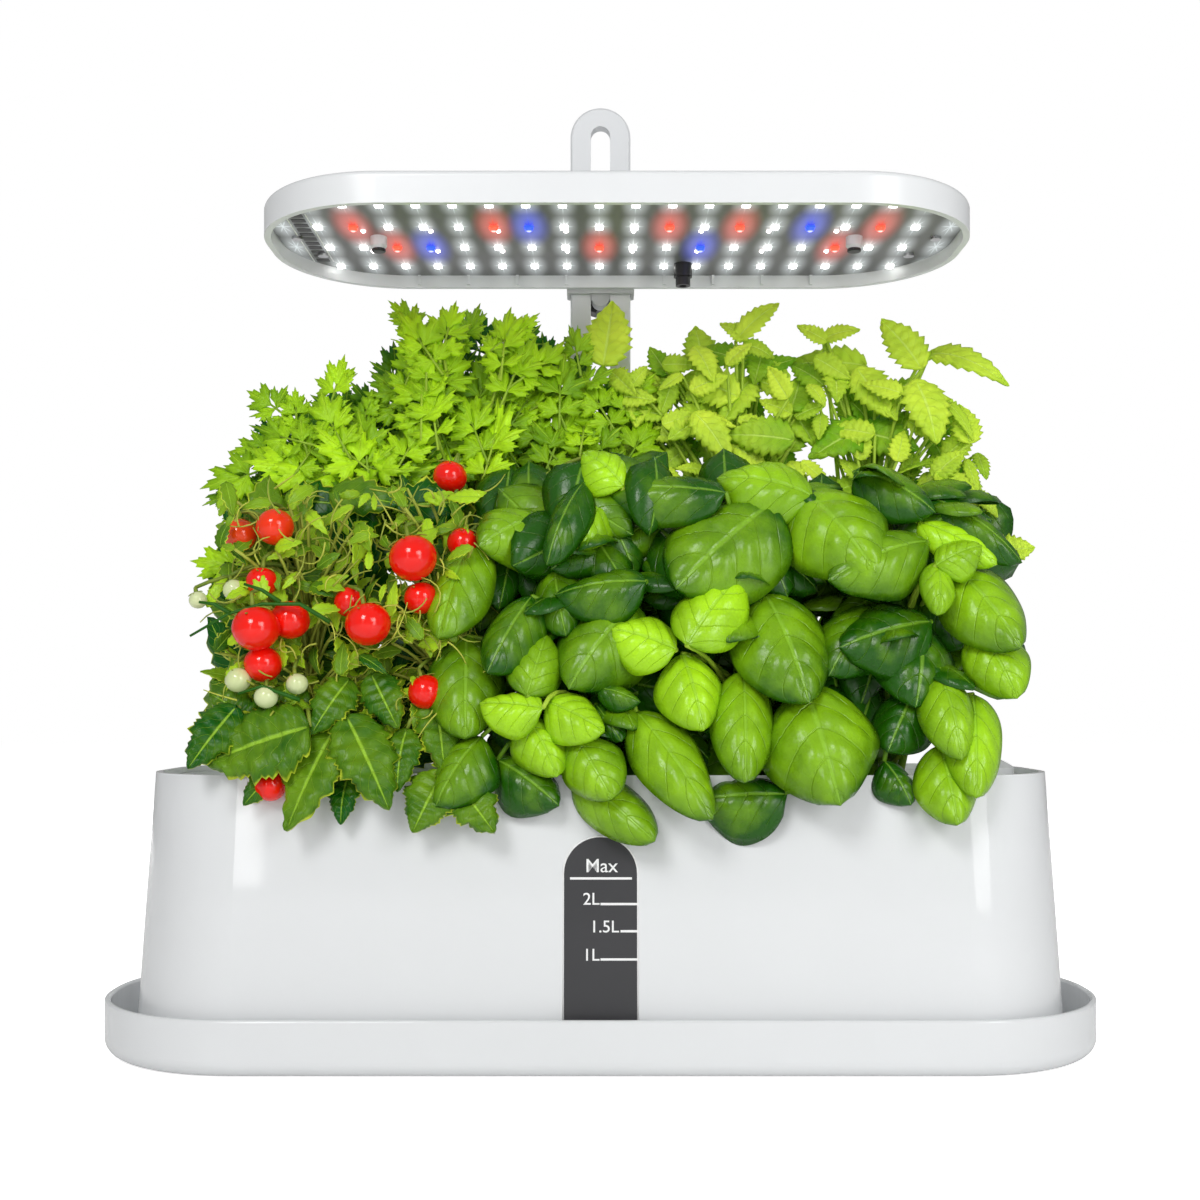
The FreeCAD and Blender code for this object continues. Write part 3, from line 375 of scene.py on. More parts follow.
def floor_material():
    s = Shader("pale_floor", (0.93, 0.93, 0.93), 0.9)
    tree = s.tree
    paths = tree.nodes.new("ShaderNodeLightPath")
    glow = tree.nodes.new("ShaderNodeEmission")
    glow.inputs["Color"].default_value = (1, 1, 1, 1)
    both = tree.nodes.new("ShaderNodeAddShader")
    sight = Value(s, paths.outputs["Is Camera Ray"])
    dark = tree.nodes.new("ShaderNodeEmission")
    dark.inputs["Strength"].default_value = 0.0
    glow.inputs["Strength"].default_value = FLOOR_GLOW
    seen = tree.nodes.new("ShaderNodeMixShader")
    s.link(sight, seen.inputs[0])
    tree.links.new(dark.outputs[0], seen.inputs[1])
    tree.links.new(glow.outputs[0], seen.inputs[2])
    tree.links.new(s.surface.outputs[0], both.inputs[0])
    tree.links.new(seen.outputs[0], both.inputs[1])
    tree.links.new(both.outputs[0], tree.nodes["Material Output"].inputs[0])
    return s.material


def paint_node(node, material):
    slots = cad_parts[node].data.materials
    slots.clear()
    slots.append(material)


def select_only(obj):
    bpy.ops.object.select_all(action="DESELECT")
    obj.select_set(True)
    bpy.context.view_layer.objects.active = obj


def settle(obj, name, material, body):
    """Names a finished piece, puts its place into its mesh and says what it rides on."""
    select_only(obj)
    bpy.ops.object.transform_apply(location=True, rotation=True, scale=True)
    obj.name = name
    obj.data.name = name
    obj.data.materials.clear()
    obj.data.materials.append(material)
    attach(obj, body)


def smooth(mesh):
    mesh.polygons.foreach_set("use_smooth", [True] * len(mesh.polygons))


def join(pieces):
    bpy.ops.object.select_all(action="DESELECT")
    for piece in pieces:
        piece.select_set(True)
    bpy.context.view_layer.objects.active = pieces[0]
    bpy.ops.object.join()
    return pieces[0]


def modify(obj, kind, **settings):
    """Applies one modifier with these settings."""
    select_only(obj)
    modifier = obj.modifiers.new("change", kind)
    for key, value in settings.items():
        setattr(modifier, key, value)
    bpy.ops.object.modifier_apply(modifier=modifier.name)


def bar(x, y, z, width, depth, height):
    """A box whose middle is at x, y, z, in its mesh."""
    bpy.ops.mesh.primitive_cube_add(size=1)
    box = bpy.context.object
    box.data.transform(Matrix.Translation((x, y, z)) @ Matrix.Diagonal((width, depth, height, 1)))
    return box


# Leaf blanks: a flat grid whose columns run from stalk to tip, kept as u, v and faces

def blank(steps_u, steps_v):
    """A grid primitive, read as u (0 to 1), v (-1 to 1) and its faces, then taken away."""
    bpy.ops.mesh.primitive_grid_add(x_subdivisions=steps_u, y_subdivisions=steps_v, size=2)
    grid = bpy.context.object
    at = np.array([v.co[:] for v in grid.data.vertices])
    faces = [list(p.vertices) for p in grid.data.polygons]
    bpy.data.objects.remove(grid, do_unlink=True)
    return {"u": (at[:, 0] + 1) / 2, "v": at[:, 1], "faces": faces}


BROAD = blank(28, 14)
SIMPLE = blank(8, 6)
TOOTHED = blank(36, 6)
FAN = blank(2, 20)
SMALL = blank(16, 4)


def saw(x):
    """Climbs from 0 to 1 between whole numbers."""
    return x - np.floor(x)


def tri_wave(x):
    """1 at whole numbers, 0 half way between them."""
    return np.abs(2 * saw(x) - 1)


def ovate(u, swell, sharp):
    """Half width of an ovate blade along its length; swell moves the widest place."""
    return np.sin(np.pi * np.clip(u, 0, 1) ** swell) ** sharp


def bent(x, y, z, length, bend, twist):
    """Bends a flat blade along its length so that its ends stay on the line between them."""
    turn = twist * (x / length)
    y, z = y * np.cos(turn) - z * np.sin(turn), y * np.sin(turn) + z * np.cos(turn)
    if abs(bend) < 1e-3:
        return x, y, z
    radius = length / bend
    a = x / radius
    bx = radius * np.sin(a) + z * np.sin(a)
    bz = -radius * (1 - np.cos(a)) + z * np.cos(a)
    half = bend / 2
    return bx * math.cos(half) - bz * math.sin(half), y, bx * math.sin(half) + bz * math.cos(half)


def quilted(u, side, veins, slant, curve, power, rim):
    """How far a blade is puckered up between its side veins; 0 at its midrib and its edge."""
    ridges = np.abs(np.sin(np.pi * veins * (u - slant * side ** curve))) ** power
    return ridges * np.clip(side / rim, 0, 1) * (1 - side ** 4)


def cupped(width, side, puff, quilt, cup, fold, power=2):
    """Height of a blade: its puckers, less its turned-down edges, plus its fold along the midrib."""
    return puff * width * quilt - cup * width * side ** power + fold * width * side


def basil_blade(length, width, bend, cup, fold, twist, phase, grid=BROAD):
    """A broad oval blade, puckered between its side veins, with its edges turned down."""
    u, v = grid["u"], grid["v"]
    side = np.abs(v)
    half = ovate(u, 0.80, 0.50) * width / 2 * (1 + 0.025 * np.sin(9 * u + phase))
    z = cupped(width, side, 0.055, quilted(u, side, 4.5, 0.34, 1.25, 0.8, 0.22), cup, fold, 2.2)
    z = z + 0.05 * width * np.sin(5 * u + phase) * side ** 2 * np.sign(v)
    taper = np.sin(np.pi * np.clip(u, 0.02, 0.98)) ** 0.5
    return grid, *bent(u * length, v * half, z * taper, length, bend, twist)


def toothed_blade(length, width, bend, cup, fold, twist, phase, teeth=11, depth=0.16):
    """A lemon balm leaf, with teeth along its edge."""
    u, v = TOOTHED["u"], TOOTHED["v"]
    side = np.abs(v)
    notch = 1 - depth * (1 - saw(u * teeth + phase)) * side ** 3
    half = ovate(u, 0.66, 0.74) * width / 2 * notch
    z = cupped(width, side, 0.06, quilted(u, side, 7, 0.34, 1.2, 0.6, 0.12), cup, fold)
    return TOOTHED, *bent(u * length, v * half, z, length, bend, twist)


def coarse_blade(length, width, bend, cup, fold, twist, phase):
    """A small tomato leaflet with a few coarse teeth; narrow ones are the fruit's sepals."""
    u, v = SMALL["u"], SMALL["v"]
    side = np.abs(v)
    notch = 1 - 0.34 * (1 - saw(u * 5 + phase)) * side ** 3
    half = ovate(u, 0.7, 0.8) * width / 2 * notch
    z = cupped(width, side, 0.05, quilted(u, side, 5, 0.3, 1, 1, 0.2), cup, fold)
    return SMALL, *bent(u * length, v * half, z, length, bend, twist)


def vine_blade(length, width, bend, cup, fold, twist, phase):
    """A large tomato leaf: a few lobes, each with small teeth, wrinkled between its veins."""
    u, v = TOOTHED["u"], TOOTHED["v"]
    side = np.abs(v)
    lobes = 1 - saw(u * 4 + phase)
    teeth = 1 - saw(u * 12)
    half = ovate(u, 0.62, 0.72) * width / 2 * (1 - (0.24 * lobes + 0.14 * teeth) * side ** 3)
    z = cupped(width, side, 0.07, quilted(u, side, 6, 0.36, 1, 1, 0.2), cup, fold)
    z = z + 0.03 * width * np.sin(14 * u + phase) * side ** 2
    return TOOTHED, *bent(u * length, v * half, z, length, bend, twist)


def fan_blade(length, width, bend, cup, twist):
    """Parsley leaflet: a wedge that spreads into three lobes, each with blunt teeth."""
    u, v = FAN["u"], FAN["v"]
    angle = v * 50
    edge = 0.60 + 0.40 * tri_wave(angle / 34) ** 0.6
    edge = edge * (0.84 + 0.16 * tri_wave(angle / 10)) * (1 - 0.30 * np.abs(v) ** 1.6)
    r = u * edge * length
    turn = np.radians(angle) * (0.55 + 0.45 * u)
    pleat = 0.10 * length * tri_wave(angle / 34) * u - cup * length * (u * np.sin(turn)) ** 2
    return FAN, *bent(r * np.cos(turn), r * np.sin(turn) * width / length, pleat * u, length, bend, twist)


class Foliage:
    """Gathers leaves and stalks of one plant into one mesh for blades and one for stems."""

    def __init__(self):
        self.points = []
        self.faces = []
        self.uvs = []
        self.tones = []
        self.count = 0

    def add(self, points, faces, uvs, tone):
        self.points.append(points)
        self.faces.extend([[i + self.count for i in f] for f in faces])
        self.uvs.append(uvs)
        self.tones.append(np.full(len(points), tone) if np.isscalar(tone) else tone)
        self.count += len(points)

    def leaf(self, blade, base, along, normal, tone):
        grid, x, y, z = blade
        t = along.normalized()
        n = (normal - normal.dot(t) * t).normalized()
        b = n.cross(t)
        axes = np.array([t[:], b[:], n[:]])
        points = np.stack([x, y, z], 1) @ axes + np.array(base[:])
        uvs = np.stack([grid["u"], (grid["v"] + 1) / 2], 1)
        self.add(points, grid["faces"], uvs, tone)

    def tube(self, path, start_r, end_r, tone, sides=6):
        """A round stalk along a list of points, closed at both ends."""
        path = [Vector(p) for p in path]
        rings = []
        count = len(path)
        side = Vector((0.3, 1, 0.1))
        for k, point in enumerate(path):
            ahead = (path[min(k + 1, count - 1)] - path[max(k - 1, 0)]).normalized()
            side = (side - side.dot(ahead) * ahead).normalized()
            up = ahead.cross(side)
            r = start_r + (end_r - start_r) * k / (count - 1)
            for s in range(sides):
                a = 2 * math.pi * s / sides
                rings.append((point + side * (r * math.cos(a)) + up * (r * math.sin(a)))[:])
        faces = []
        for k in range(count - 1):
            for s in range(sides):
                a, b = k * sides + s, k * sides + (s + 1) % sides
                faces.append([a, b, b + sides, a + sides])
        faces.append(list(reversed(range(sides))))
        faces.append([(count - 1) * sides + s for s in range(sides)])
        points = np.array(rings)
        self.add(points, faces, np.full((len(points), 2), 0.5), tone)

    def made(self, name):
        points = np.concatenate(self.points)
        mesh = bpy.data.meshes.new(name)
        mesh.from_pydata(points.tolist(), [], self.faces)
        uvs = np.concatenate(self.uvs)
        corner = np.empty(len(mesh.loops), dtype=np.int32)
        mesh.loops.foreach_get("vertex_index", corner)
        layer = mesh.uv_layers.new(name="UVMap")
        layer.data.foreach_set("uv", uvs[corner].astype(np.float32).ravel())
        tone = mesh.attributes.new("tone", "FLOAT", "POINT")
        tone.data.foreach_set("value", np.concatenate(self.tones).astype(np.float32))
        smooth(mesh)
        mesh.update()
        obj = bpy.data.objects.new(name, mesh)
        bpy.context.collection.objects.link(obj)
        return obj


def arc_path(start, middle, end, steps):
    """Points of a smooth bend from start to end that leans towards middle."""
    path = []
    for k in range(steps + 1):
        t = k / steps
        path.append(start * (1 - t) ** 2 + middle * (2 * t * (1 - t)) + end * t ** 2)
    return path


def screen_leaf(px, py, length_px, degrees, y, lean_x, lean_up):
    """Base, direction and normal of a leaf that the camera sees centred on a pixel."""
    a = math.radians(degrees)
    normal = Vector((lean_x, -1.0, lean_up)).normalized()
    depth = -(normal.x * math.cos(a) + normal.z * math.sin(a)) / normal.y
    along = Vector((math.cos(a), depth, math.sin(a)))
    size = px_size(length_px, y)
    centre = seen_at(px, py, y)
    return centre - along * size / 2, along * size, normal


def nearest(plants, place):
    """The plant whose pod is nearest to a place, along X."""
    return min(plants, key=lambda p: abs(p.x - place.x))


class Plant:
    """One potted plant: blades, stems, and the pod that it grows from."""

    def __init__(self, node, column, row):
        self.node = node
        self.x = POD_XS[column]
        self.y = POD_FRONT_Y if row == 0 else POD_BACK_Y
        self.blades = Foliage()
        self.stems = Foliage()

    def hold(self, base, thick, tone, spread=0.35):
        """A stalk from the plant's stem to a leaf's base."""
        height = max(base.z - DECK_TOP, 0.004)
        root_z = DECK_TOP + height * (0.35 + 0.3 * rng.random())
        root_z = min(root_z, base.z + 0.01)
        root = Vector((self.x, self.y, root_z)) + Vector((swing(2), swing(2), 0)) * MM
        middle = root.lerp(base, spread) + Vector((0, 0, abs(base.z - root_z) * 0.4 + 0.004))
        if base.y < -TANK_RIM_HALF_Y + 2 * MM and base.z < TANK_HIGH[2] + 25 * MM:
            over = max(base.z, TANK_HIGH[2] + 12 * MM) + 16 * MM
            middle = Vector((base.x * 0.7 + root.x * 0.3, -TANK_RIM_HALF_Y - 2 * MM, over))
        self.stems.tube(arc_path(root, middle, base, 7), thick * 1.3, thick, tone)

    def main_stem(self, top_z, radius, tone, sway=0.004):
        foot = Vector((self.x, self.y, DECK_TOP - 8 * MM))
        top = Vector((self.x + swing(sway), self.y + swing(sway), top_z))
        middle = foot.lerp(top, 0.5) + Vector((swing(sway), swing(sway), 0))
        self.stems.tube(arc_path(foot, middle, top, 12), radius, radius * 0.55, tone, 8)

    def finish(self, leaf_material, stem_material, keep, thick=0.00028):
        for part, foliage, material in (("leaves", self.blades, leaf_material),
                                        ("stems", self.stems, stem_material)):
            obj = foliage.made(self.node + "_" + part)
            if part == "leaves":
                modify(obj, "SOLIDIFY", thickness=thick, offset=0.0)
            obj.data.materials.append(material)
            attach(obj, "deck")
            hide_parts(self.node)
            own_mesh(obj)


# Basil leaves that the photograph shows: pixel, length, width, direction, tone, depth in mm; the tone is
# partly each leaf's own colour and partly painted light and shade
BASIL_LEAVES = [
    (456, 585, 100, 58, -105, 0.45, -48), (466, 683, 96, 64, -88, 0.40, -52),
    (511, 632, 84, 52, -118, 0.25, -56), (511, 530, 64, 62, -150, 0.50, -45),
    (566, 522, 90, 38, -112, 0.12, -50), (590, 524, 54, 36, -118, 0.62, -46),
    (604, 470, 54, 48, 138, 0.92, -42), (670, 492, 110, 54, 178, 0.22, -46),
    (603, 588, 88, 56, 188, 0.20, -53), (604, 645, 106, 78, -128, 0.35, -54),
    (646, 640, 64, 54, 162, 0.95, -60), (692, 690, 76, 56, -76, 0.85, -62),
    (712, 612, 86, 60, 52, 0.88, -60), (728, 543, 126, 100, -138, 0.38, -53),
    (744, 722, 104, 54, -92, 0.60, -62), (786, 645, 110, 86, -72, 0.42, -57),
    (822, 742, 118, 98, -78, 0.48, -63), (536, 666, 62, 46, 74, 0.50, -57),
    (513, 706, 60, 48, 176, 0.93, -63), (574, 716, 62, 48, -27, 0.93, -63),
    (541, 745, 64, 46, -62, 0.80, -61), (592, 765, 68, 52, -58, 0.62, -65),
    (460, 770, 78, 58, -122, 0.30, -60), (527, 782, 74, 54, -35, 0.18, -57),
    (612, 806, 94, 46, -38, 0.55, -61), (672, 762, 122, 56, -55, 0.58, -64),
    (618, 695, 44, 26, -18, 0.15, -57), (608, 722, 42, 26, -55, 0.12, -55),
    (766, 488, 94, 68, 168, 0.70, -43), (838, 530, 102, 86, -55, 0.60, -52),
    (893, 491, 86, 54, -30, 0.20, -46), (880, 560, 108, 64, 202, 0.45, -56),
    (955, 542, 82, 36, -32, 0.97, -50), (970, 528, 112, 42, -38, 0.10, -46),
    (958, 556, 48, 40, 24, 0.72, -58), (937, 588, 54, 30, -97, 0.70, -60),
    (985, 605, 94, 68, -58, 0.50, -56), (888, 634, 94, 74, 196, 0.22, -54),
    (918, 664, 84, 74, -100, 0.16, -50), (950, 716, 82, 48, -82, 0.66, -62),
    (903, 718, 66, 54, -118, 0.14, -54), (996, 662, 74, 52, -68, 0.74, -57),
    (975, 742, 96, 48, -96, 0.78, -61), (948, 782, 74, 52, -84, 0.68, -62),
    (745, 797, 84, 64, 184, 0.10, -57), (897, 782, 46, 38, -62, 0.14, -55),
    (852, 640, 84, 60, -125, 0.30, -48), (560, 600, 70, 44, -80, 0.30, -46),
]

# Lemon balm leaves, in the same terms
BALM_LEAVES = [
    (758, 322, 62, 26, 42, 0.62, 16), (732, 332, 30, 26, 150, 0.55, 14), (767, 368, 52, 36, -30, 0.50, 22),
    (812, 334, 34, 22, 152, 0.60, 12), (842, 335, 38, 22, 12, 0.62, 12), (826, 366, 76, 44, 176, 0.50, 24),
    (873, 394, 60, 46, -62, 0.60, 10), (901, 345, 64, 48, 126, 0.62, 12), (972, 372, 88, 30, -30, 0.60, 8),
    (926, 414, 70, 56, -78, 0.60, 2), (960, 422, 48, 14, -62, 0.45, 4), (949, 465, 42, 30, 40, 0.50, -4),
    (972, 480, 44, 16, -80, 0.48, -4), (958, 490, 54, 38, -40, 0.60, -8), (708, 389, 62, 46, 160, 0.65, 16),
    (760, 438, 66, 48, 172, 0.30, 4), (713, 440, 66, 38, -58, 0.60, 2), (786, 392, 56, 38, -20, 0.45, 20),
    (838, 444, 70, 54, -150, 0.12, 10), (888, 442, 62, 50, -20, 0.10, 12),
    (1014, 552, 40, 38, 8, 0.60, -20), (700, 350, 50, 40, 100, 0.55, 24), (850, 405, 52, 40, 100, 0.40, 26),
    (905, 395, 48, 36, 20, 0.35, 26), (735, 405, 60, 44, -120, 0.40, 14), (800, 425, 60, 46, -60, 0.30, 16),
    (640, 400, 64, 46, -100, 0.55, 14), (608, 335, 72, 52, 82, 0.70, 20), (665, 385, 58, 44, 60, 0.60, 22),
    (690, 425, 60, 44, -140, 0.45, 10), (985, 505, 36, 20, -50, 0.55, -12),
    (880, 425, 50, 40, -130, 0.30, 22),
]

# Parsley leaflets: pixel, size, direction, tone, depth in mm; the tone is partly own colour and partly
# painted light and shade
PARSLEY_LEAVES = [
    (449, 326, 52, 80, 0.85, 10), (408, 319, 44, 132, 0.50, 14), (470, 328, 44, 60, 0.55, 16),
    (505, 338, 58, 86, 0.78, 8), (522, 328, 40, 48, 0.70, 14), (413, 342, 46, 112, 0.60, 8),
    (337, 384, 54, 76, 0.55, 10), (270, 404, 50, 142, 0.50, 12), (296, 407, 38, 96, 0.50, 8),
    (367, 409, 36, 80, 0.45, 12), (278, 436, 56, 162, 0.50, 4), (240, 478, 66, 200, 0.50, 2),
    (226, 494, 46, 215, 0.45, 6), (330, 421, 60, 120, 0.55, 2), (350, 455, 74, 142, 0.72, -2),
    (296, 466, 84, 172, 0.75, -2), (410, 447, 64, 62, 0.65, -2), (388, 404, 54, 150, 0.40, 12),
    (422, 386, 74, 92, 0.72, 4), (447, 372, 66, 70, 0.60, 8), (432, 404, 64, 100, 0.66, 0),
    (483, 386, 66, 80, 0.35, 12), (519, 364, 64, 70, 0.55, 8), (529, 398, 66, 60, 0.35, 10),
    (495, 438, 74, 76, 0.78, -3), (471, 421, 64, 112, 0.50, 2), (405, 489, 84, -58, 0.40, -4),
    (422, 508, 66, -82, 0.35, -8), (364, 436, 56, 100, 0.50, 4), (282, 500, 66, -122, 0.30, -4),
    (224, 564, 56, 176, 0.66, -20), (560, 384, 60, 90, 0.45, 6), (596, 400, 56, 120, 0.50, 8),
    (545, 362, 56, 40, 0.60, 10), (560, 436, 62, 70, 0.35, 2), (600, 440, 56, 100, 0.30, 4),
    (640, 440, 56, 60, 0.35, 8), (530, 430, 54, 130, 0.30, 4), (380, 470, 60, -20, 0.45, -3),
    (330, 490, 60, -80, 0.30, -3), (455, 470, 60, -70, 0.25, -2), (520, 470, 56, -60, 0.25, 0),
    (575, 345, 44, 100, 0.50, 14), (258, 450, 50, 190, 0.45, 6), (315, 445, 56, 60, 0.55, 0),
    (350, 505, 60, -110, 0.25, -6), (300, 525, 56, -60, 0.22, -8), (240, 510, 50, -140, 0.3, -2),
]

# Large tomato leaves that hang over the rim: pixel, length, width, direction, tone, depth in mm; the tone
# is partly own colour and partly painted light and shade
TOMATO_LEAVES = [
    (258, 746, 112, 84, -160, 0.30, -57), (312, 778, 112, 64, -112, 0.34, -60),
    (368, 764, 104, 62, -62, 0.30, -60), (440, 735, 74, 44, -80, 0.20, -52),
    (428, 803, 64, 54, -115, 0.36, -61), (474, 806, 68, 50, -50, 0.36, -62),
    (212, 738, 72, 46, -122, 0.12, -57), (385, 702, 62, 42, -60, 0.22, -50),
    (330, 708, 64, 42, -120, 0.25, -52), (282, 704, 62, 40, 165, 0.20, -48),
    (232, 708, 56, 38, 150, 0.28, -46), (402, 762, 62, 40, -95, 0.12, -56),
    (345, 800, 50, 32, -95, 0.10, -57), (262, 786, 50, 30, -130, 0.12, -56),
    (455, 772, 60, 40, -95, 0.15, -56),
]

# Tomatoes: pixel, radius in pixels, ripeness tone (0 ripe, 0.4 orange, 1 unripe), depth in mm
TOMATOES = [
    (275, 527, 19, 0.30, -42), (240, 535, 17, 0.38, -36), (256, 628, 24, 0.0, -56),
    (290, 620, 20, 0.05, -48), (263, 664, 19, 0.05, -50), (262, 582, 16, 0.2, -44),
    (368, 624, 23, 0.0, -56), (350, 602, 16, 0.05, -46), (413, 558, 24, 0.0, -54),
    (421, 598, 17, 0.05, -48), (463, 543, 16, 0.05, -40), (426, 692, 18, 0.05, -50),
    (450, 477, 17, 0.2, -18), (270, 786, 16, 0.1, -56), (234, 590, 11, 1.0, -44), (198, 600, 9, 1.0, -44),
    (238, 680, 13, 0.95, -52), (266, 697, 12, 1.0, -56), (297, 684, 11, 1.0, -54),
    (594, 468, 11, 0.95, -16),
]


# The outlines, in pixels, that the leaves of each kind fill
PARSLEY_MASS = [(228, 500), (262, 432), (318, 402), (372, 402), (398, 340), (470, 322), (560, 350),
                (600, 372), (660, 400), (650, 470), (560, 520), (470, 560), (300, 560), (236, 560)]
BALM_MASS = [(620, 372), (700, 350), (790, 352), (850, 372), (960, 410), (985, 470), (960, 520),
             (800, 520), (640, 500)]
BASIL_MASS = [(470, 500), (640, 470), (760, 490), (1000, 520), (1000, 700), (960, 780), (500, 780)]
TOMATO_MASS = [(232, 500), (470, 490), (480, 740), (250, 760), (215, 700)]

# Pixels where the lemon balm's stems end, for balm_1 and balm_2 by turns
BALM_TOPS = [(740, 345), (824, 345), (918, 366), (862, 420), (950, 405), (700, 380), (780, 400),
             (975, 470)]

# Routes, in pixels, of the tomato's fruit stalks in front of its leaves
TRUSSES = [[(330, 622), (300, 604), (262, 604), (228, 614), (190, 636)],
           [(230, 613), (214, 604), (199, 602)], [(280, 602), (262, 590), (244, 584)],
           [(300, 700), (262, 686), (238, 694)]]

# Fill marks: the lines' ends and height, then the words' middle and height, in pixels
MARK_LINES = [(570, 632, 878.5), (600.5, 638.2, 904), (620.5, 638.2, 931), (600.5, 638.2, 959)]
MARK_WORDS = [("Max", 601.5, 866.5, 13.5), ("2L", 591.2, 899.5, 12.0), ("1.5L", 604.5, 927, 12.0),
              ("1L", 591.2, 955, 12.0)]


def inside(polygon, px, py):
    hits = 0
    for k, (x0, y0) in enumerate(polygon):
        x1, y1 = polygon[(k + 1) % len(polygon)]
        if (y0 > py) != (y1 > py) and px < x0 + (py - y0) / (y1 - y0) * (x1 - x0):
            hits += 1
    return hits % 2 == 1


def spots_in(polygon, count, apart):
    """Scattered pixels inside an outline, kept a little apart from each other."""
    xs = [x for x, y in polygon]
    ys = [y for x, y in polygon]
    found = []
    for k in range(count * 40):
        px, py = draw(min(xs), max(xs)), draw(min(ys), max(ys))
        if inside(polygon, px, py) and all(math.hypot(px - x, py - y) > apart for x, y in found):
            found.append((px, py))
            if len(found) == count:
                break
    return found


def basil_plants(leaf_material, stem_material):
    plants = [Plant("basil_1", 2, 0), Plant("basil_2", 3, 0), Plant("basil_3", 4, 0)]
    for plant, top in zip(plants, (196, 208, 200)):
        plant.main_stem(top * MM, 2.2 * MM, 0.5)
        plant.main_stem((top - 25) * MM, 1.7 * MM, 0.4, 0.008)

    for px, py, length_px, width_px, degrees, tone, depth in BASIL_LEAVES:
        y = depth * MM
        lean = swing(0.25)
        base, along, normal = screen_leaf(px, py, length_px, degrees, y, lean, 0.55)
        plant = nearest(plants, base)
        length = along.length
        width = px_size(width_px, y) * 1.24
        fold = -0.10 if tone < 0.3 else -0.02
        tone = 0.95 * tone - 0.02
        blade = basil_blade(length * 1.08, width, draw(0.5, 1.1), draw(0.26, 0.38), fold,
                            swing(0.25), draw(0, 6))
        plant.blades.leaf(blade, base, along, normal, tone)
        plant.hold(base, 0.9 * MM, tone)
    for px, py in spots_in(BASIL_MASS, 170, 17):    # darker leaves behind the ones that stand out
        y = draw(-44, -6) * MM
        base, along, normal = screen_leaf(px, py, draw(60, 90), draw(-170, -10), y,
                                          swing(0.6), draw(0.1, 0.7))
        blade = basil_blade(along.length, along.length * draw(0.6, 0.8), draw(0.4, 1.2), 0.2, -0.05,
                            swing(0.4), draw(0, 6), SIMPLE)
        if base.x > 0.105 and min(base.z, base.z + along.z) < 0.145:
            continue
        # painted shade: these leaves get a darker tone than the ones in front
        nearest(plants, base).blades.leaf(blade, base, along, normal, draw(-0.15, 0.25))
    for k in range(120):    # rings of leaves round each stem, for the views from behind
        plant = plants[k % 3]
        turn = GOLDEN_TURN * k
        height = draw(0.112, 0.218)
        spread = draw(0.006, 0.022)
        base = Vector((plant.x + math.cos(turn) * spread, plant.y + math.sin(turn) * spread, height))
        near_inlet = plant.node == "basil_3" and math.cos(turn) > 0
        if near_inlet:
            base.z = max(base.z, 0.150)
            base.y = min(base.y, -0.026)
        along = Vector((math.cos(turn) * 0.027, math.sin(turn) * 0.022, draw(-0.014, 0.006)))
        if base.y + along.y > -0.004:
            along.y = -0.004 - base.y
        length = max(along.length, 0.014)
        tone = draw(0.02, 0.42)
        normal = Vector((math.cos(turn) * 0.5, math.sin(turn) * 0.5 - 0.25, 1))
        blade = basil_blade(length, length * draw(0.62, 0.8), draw(0.6, 1.2), 0.16, -0.05,
                            swing(0.3), draw(0, 6), SIMPLE)
        plant.blades.leaf(blade, base, along, normal, tone)
        if k % 2:
            plant.hold(base, 0.8 * MM, tone)
    for plant in plants:
        plant.finish(leaf_material, stem_material, 0.62)


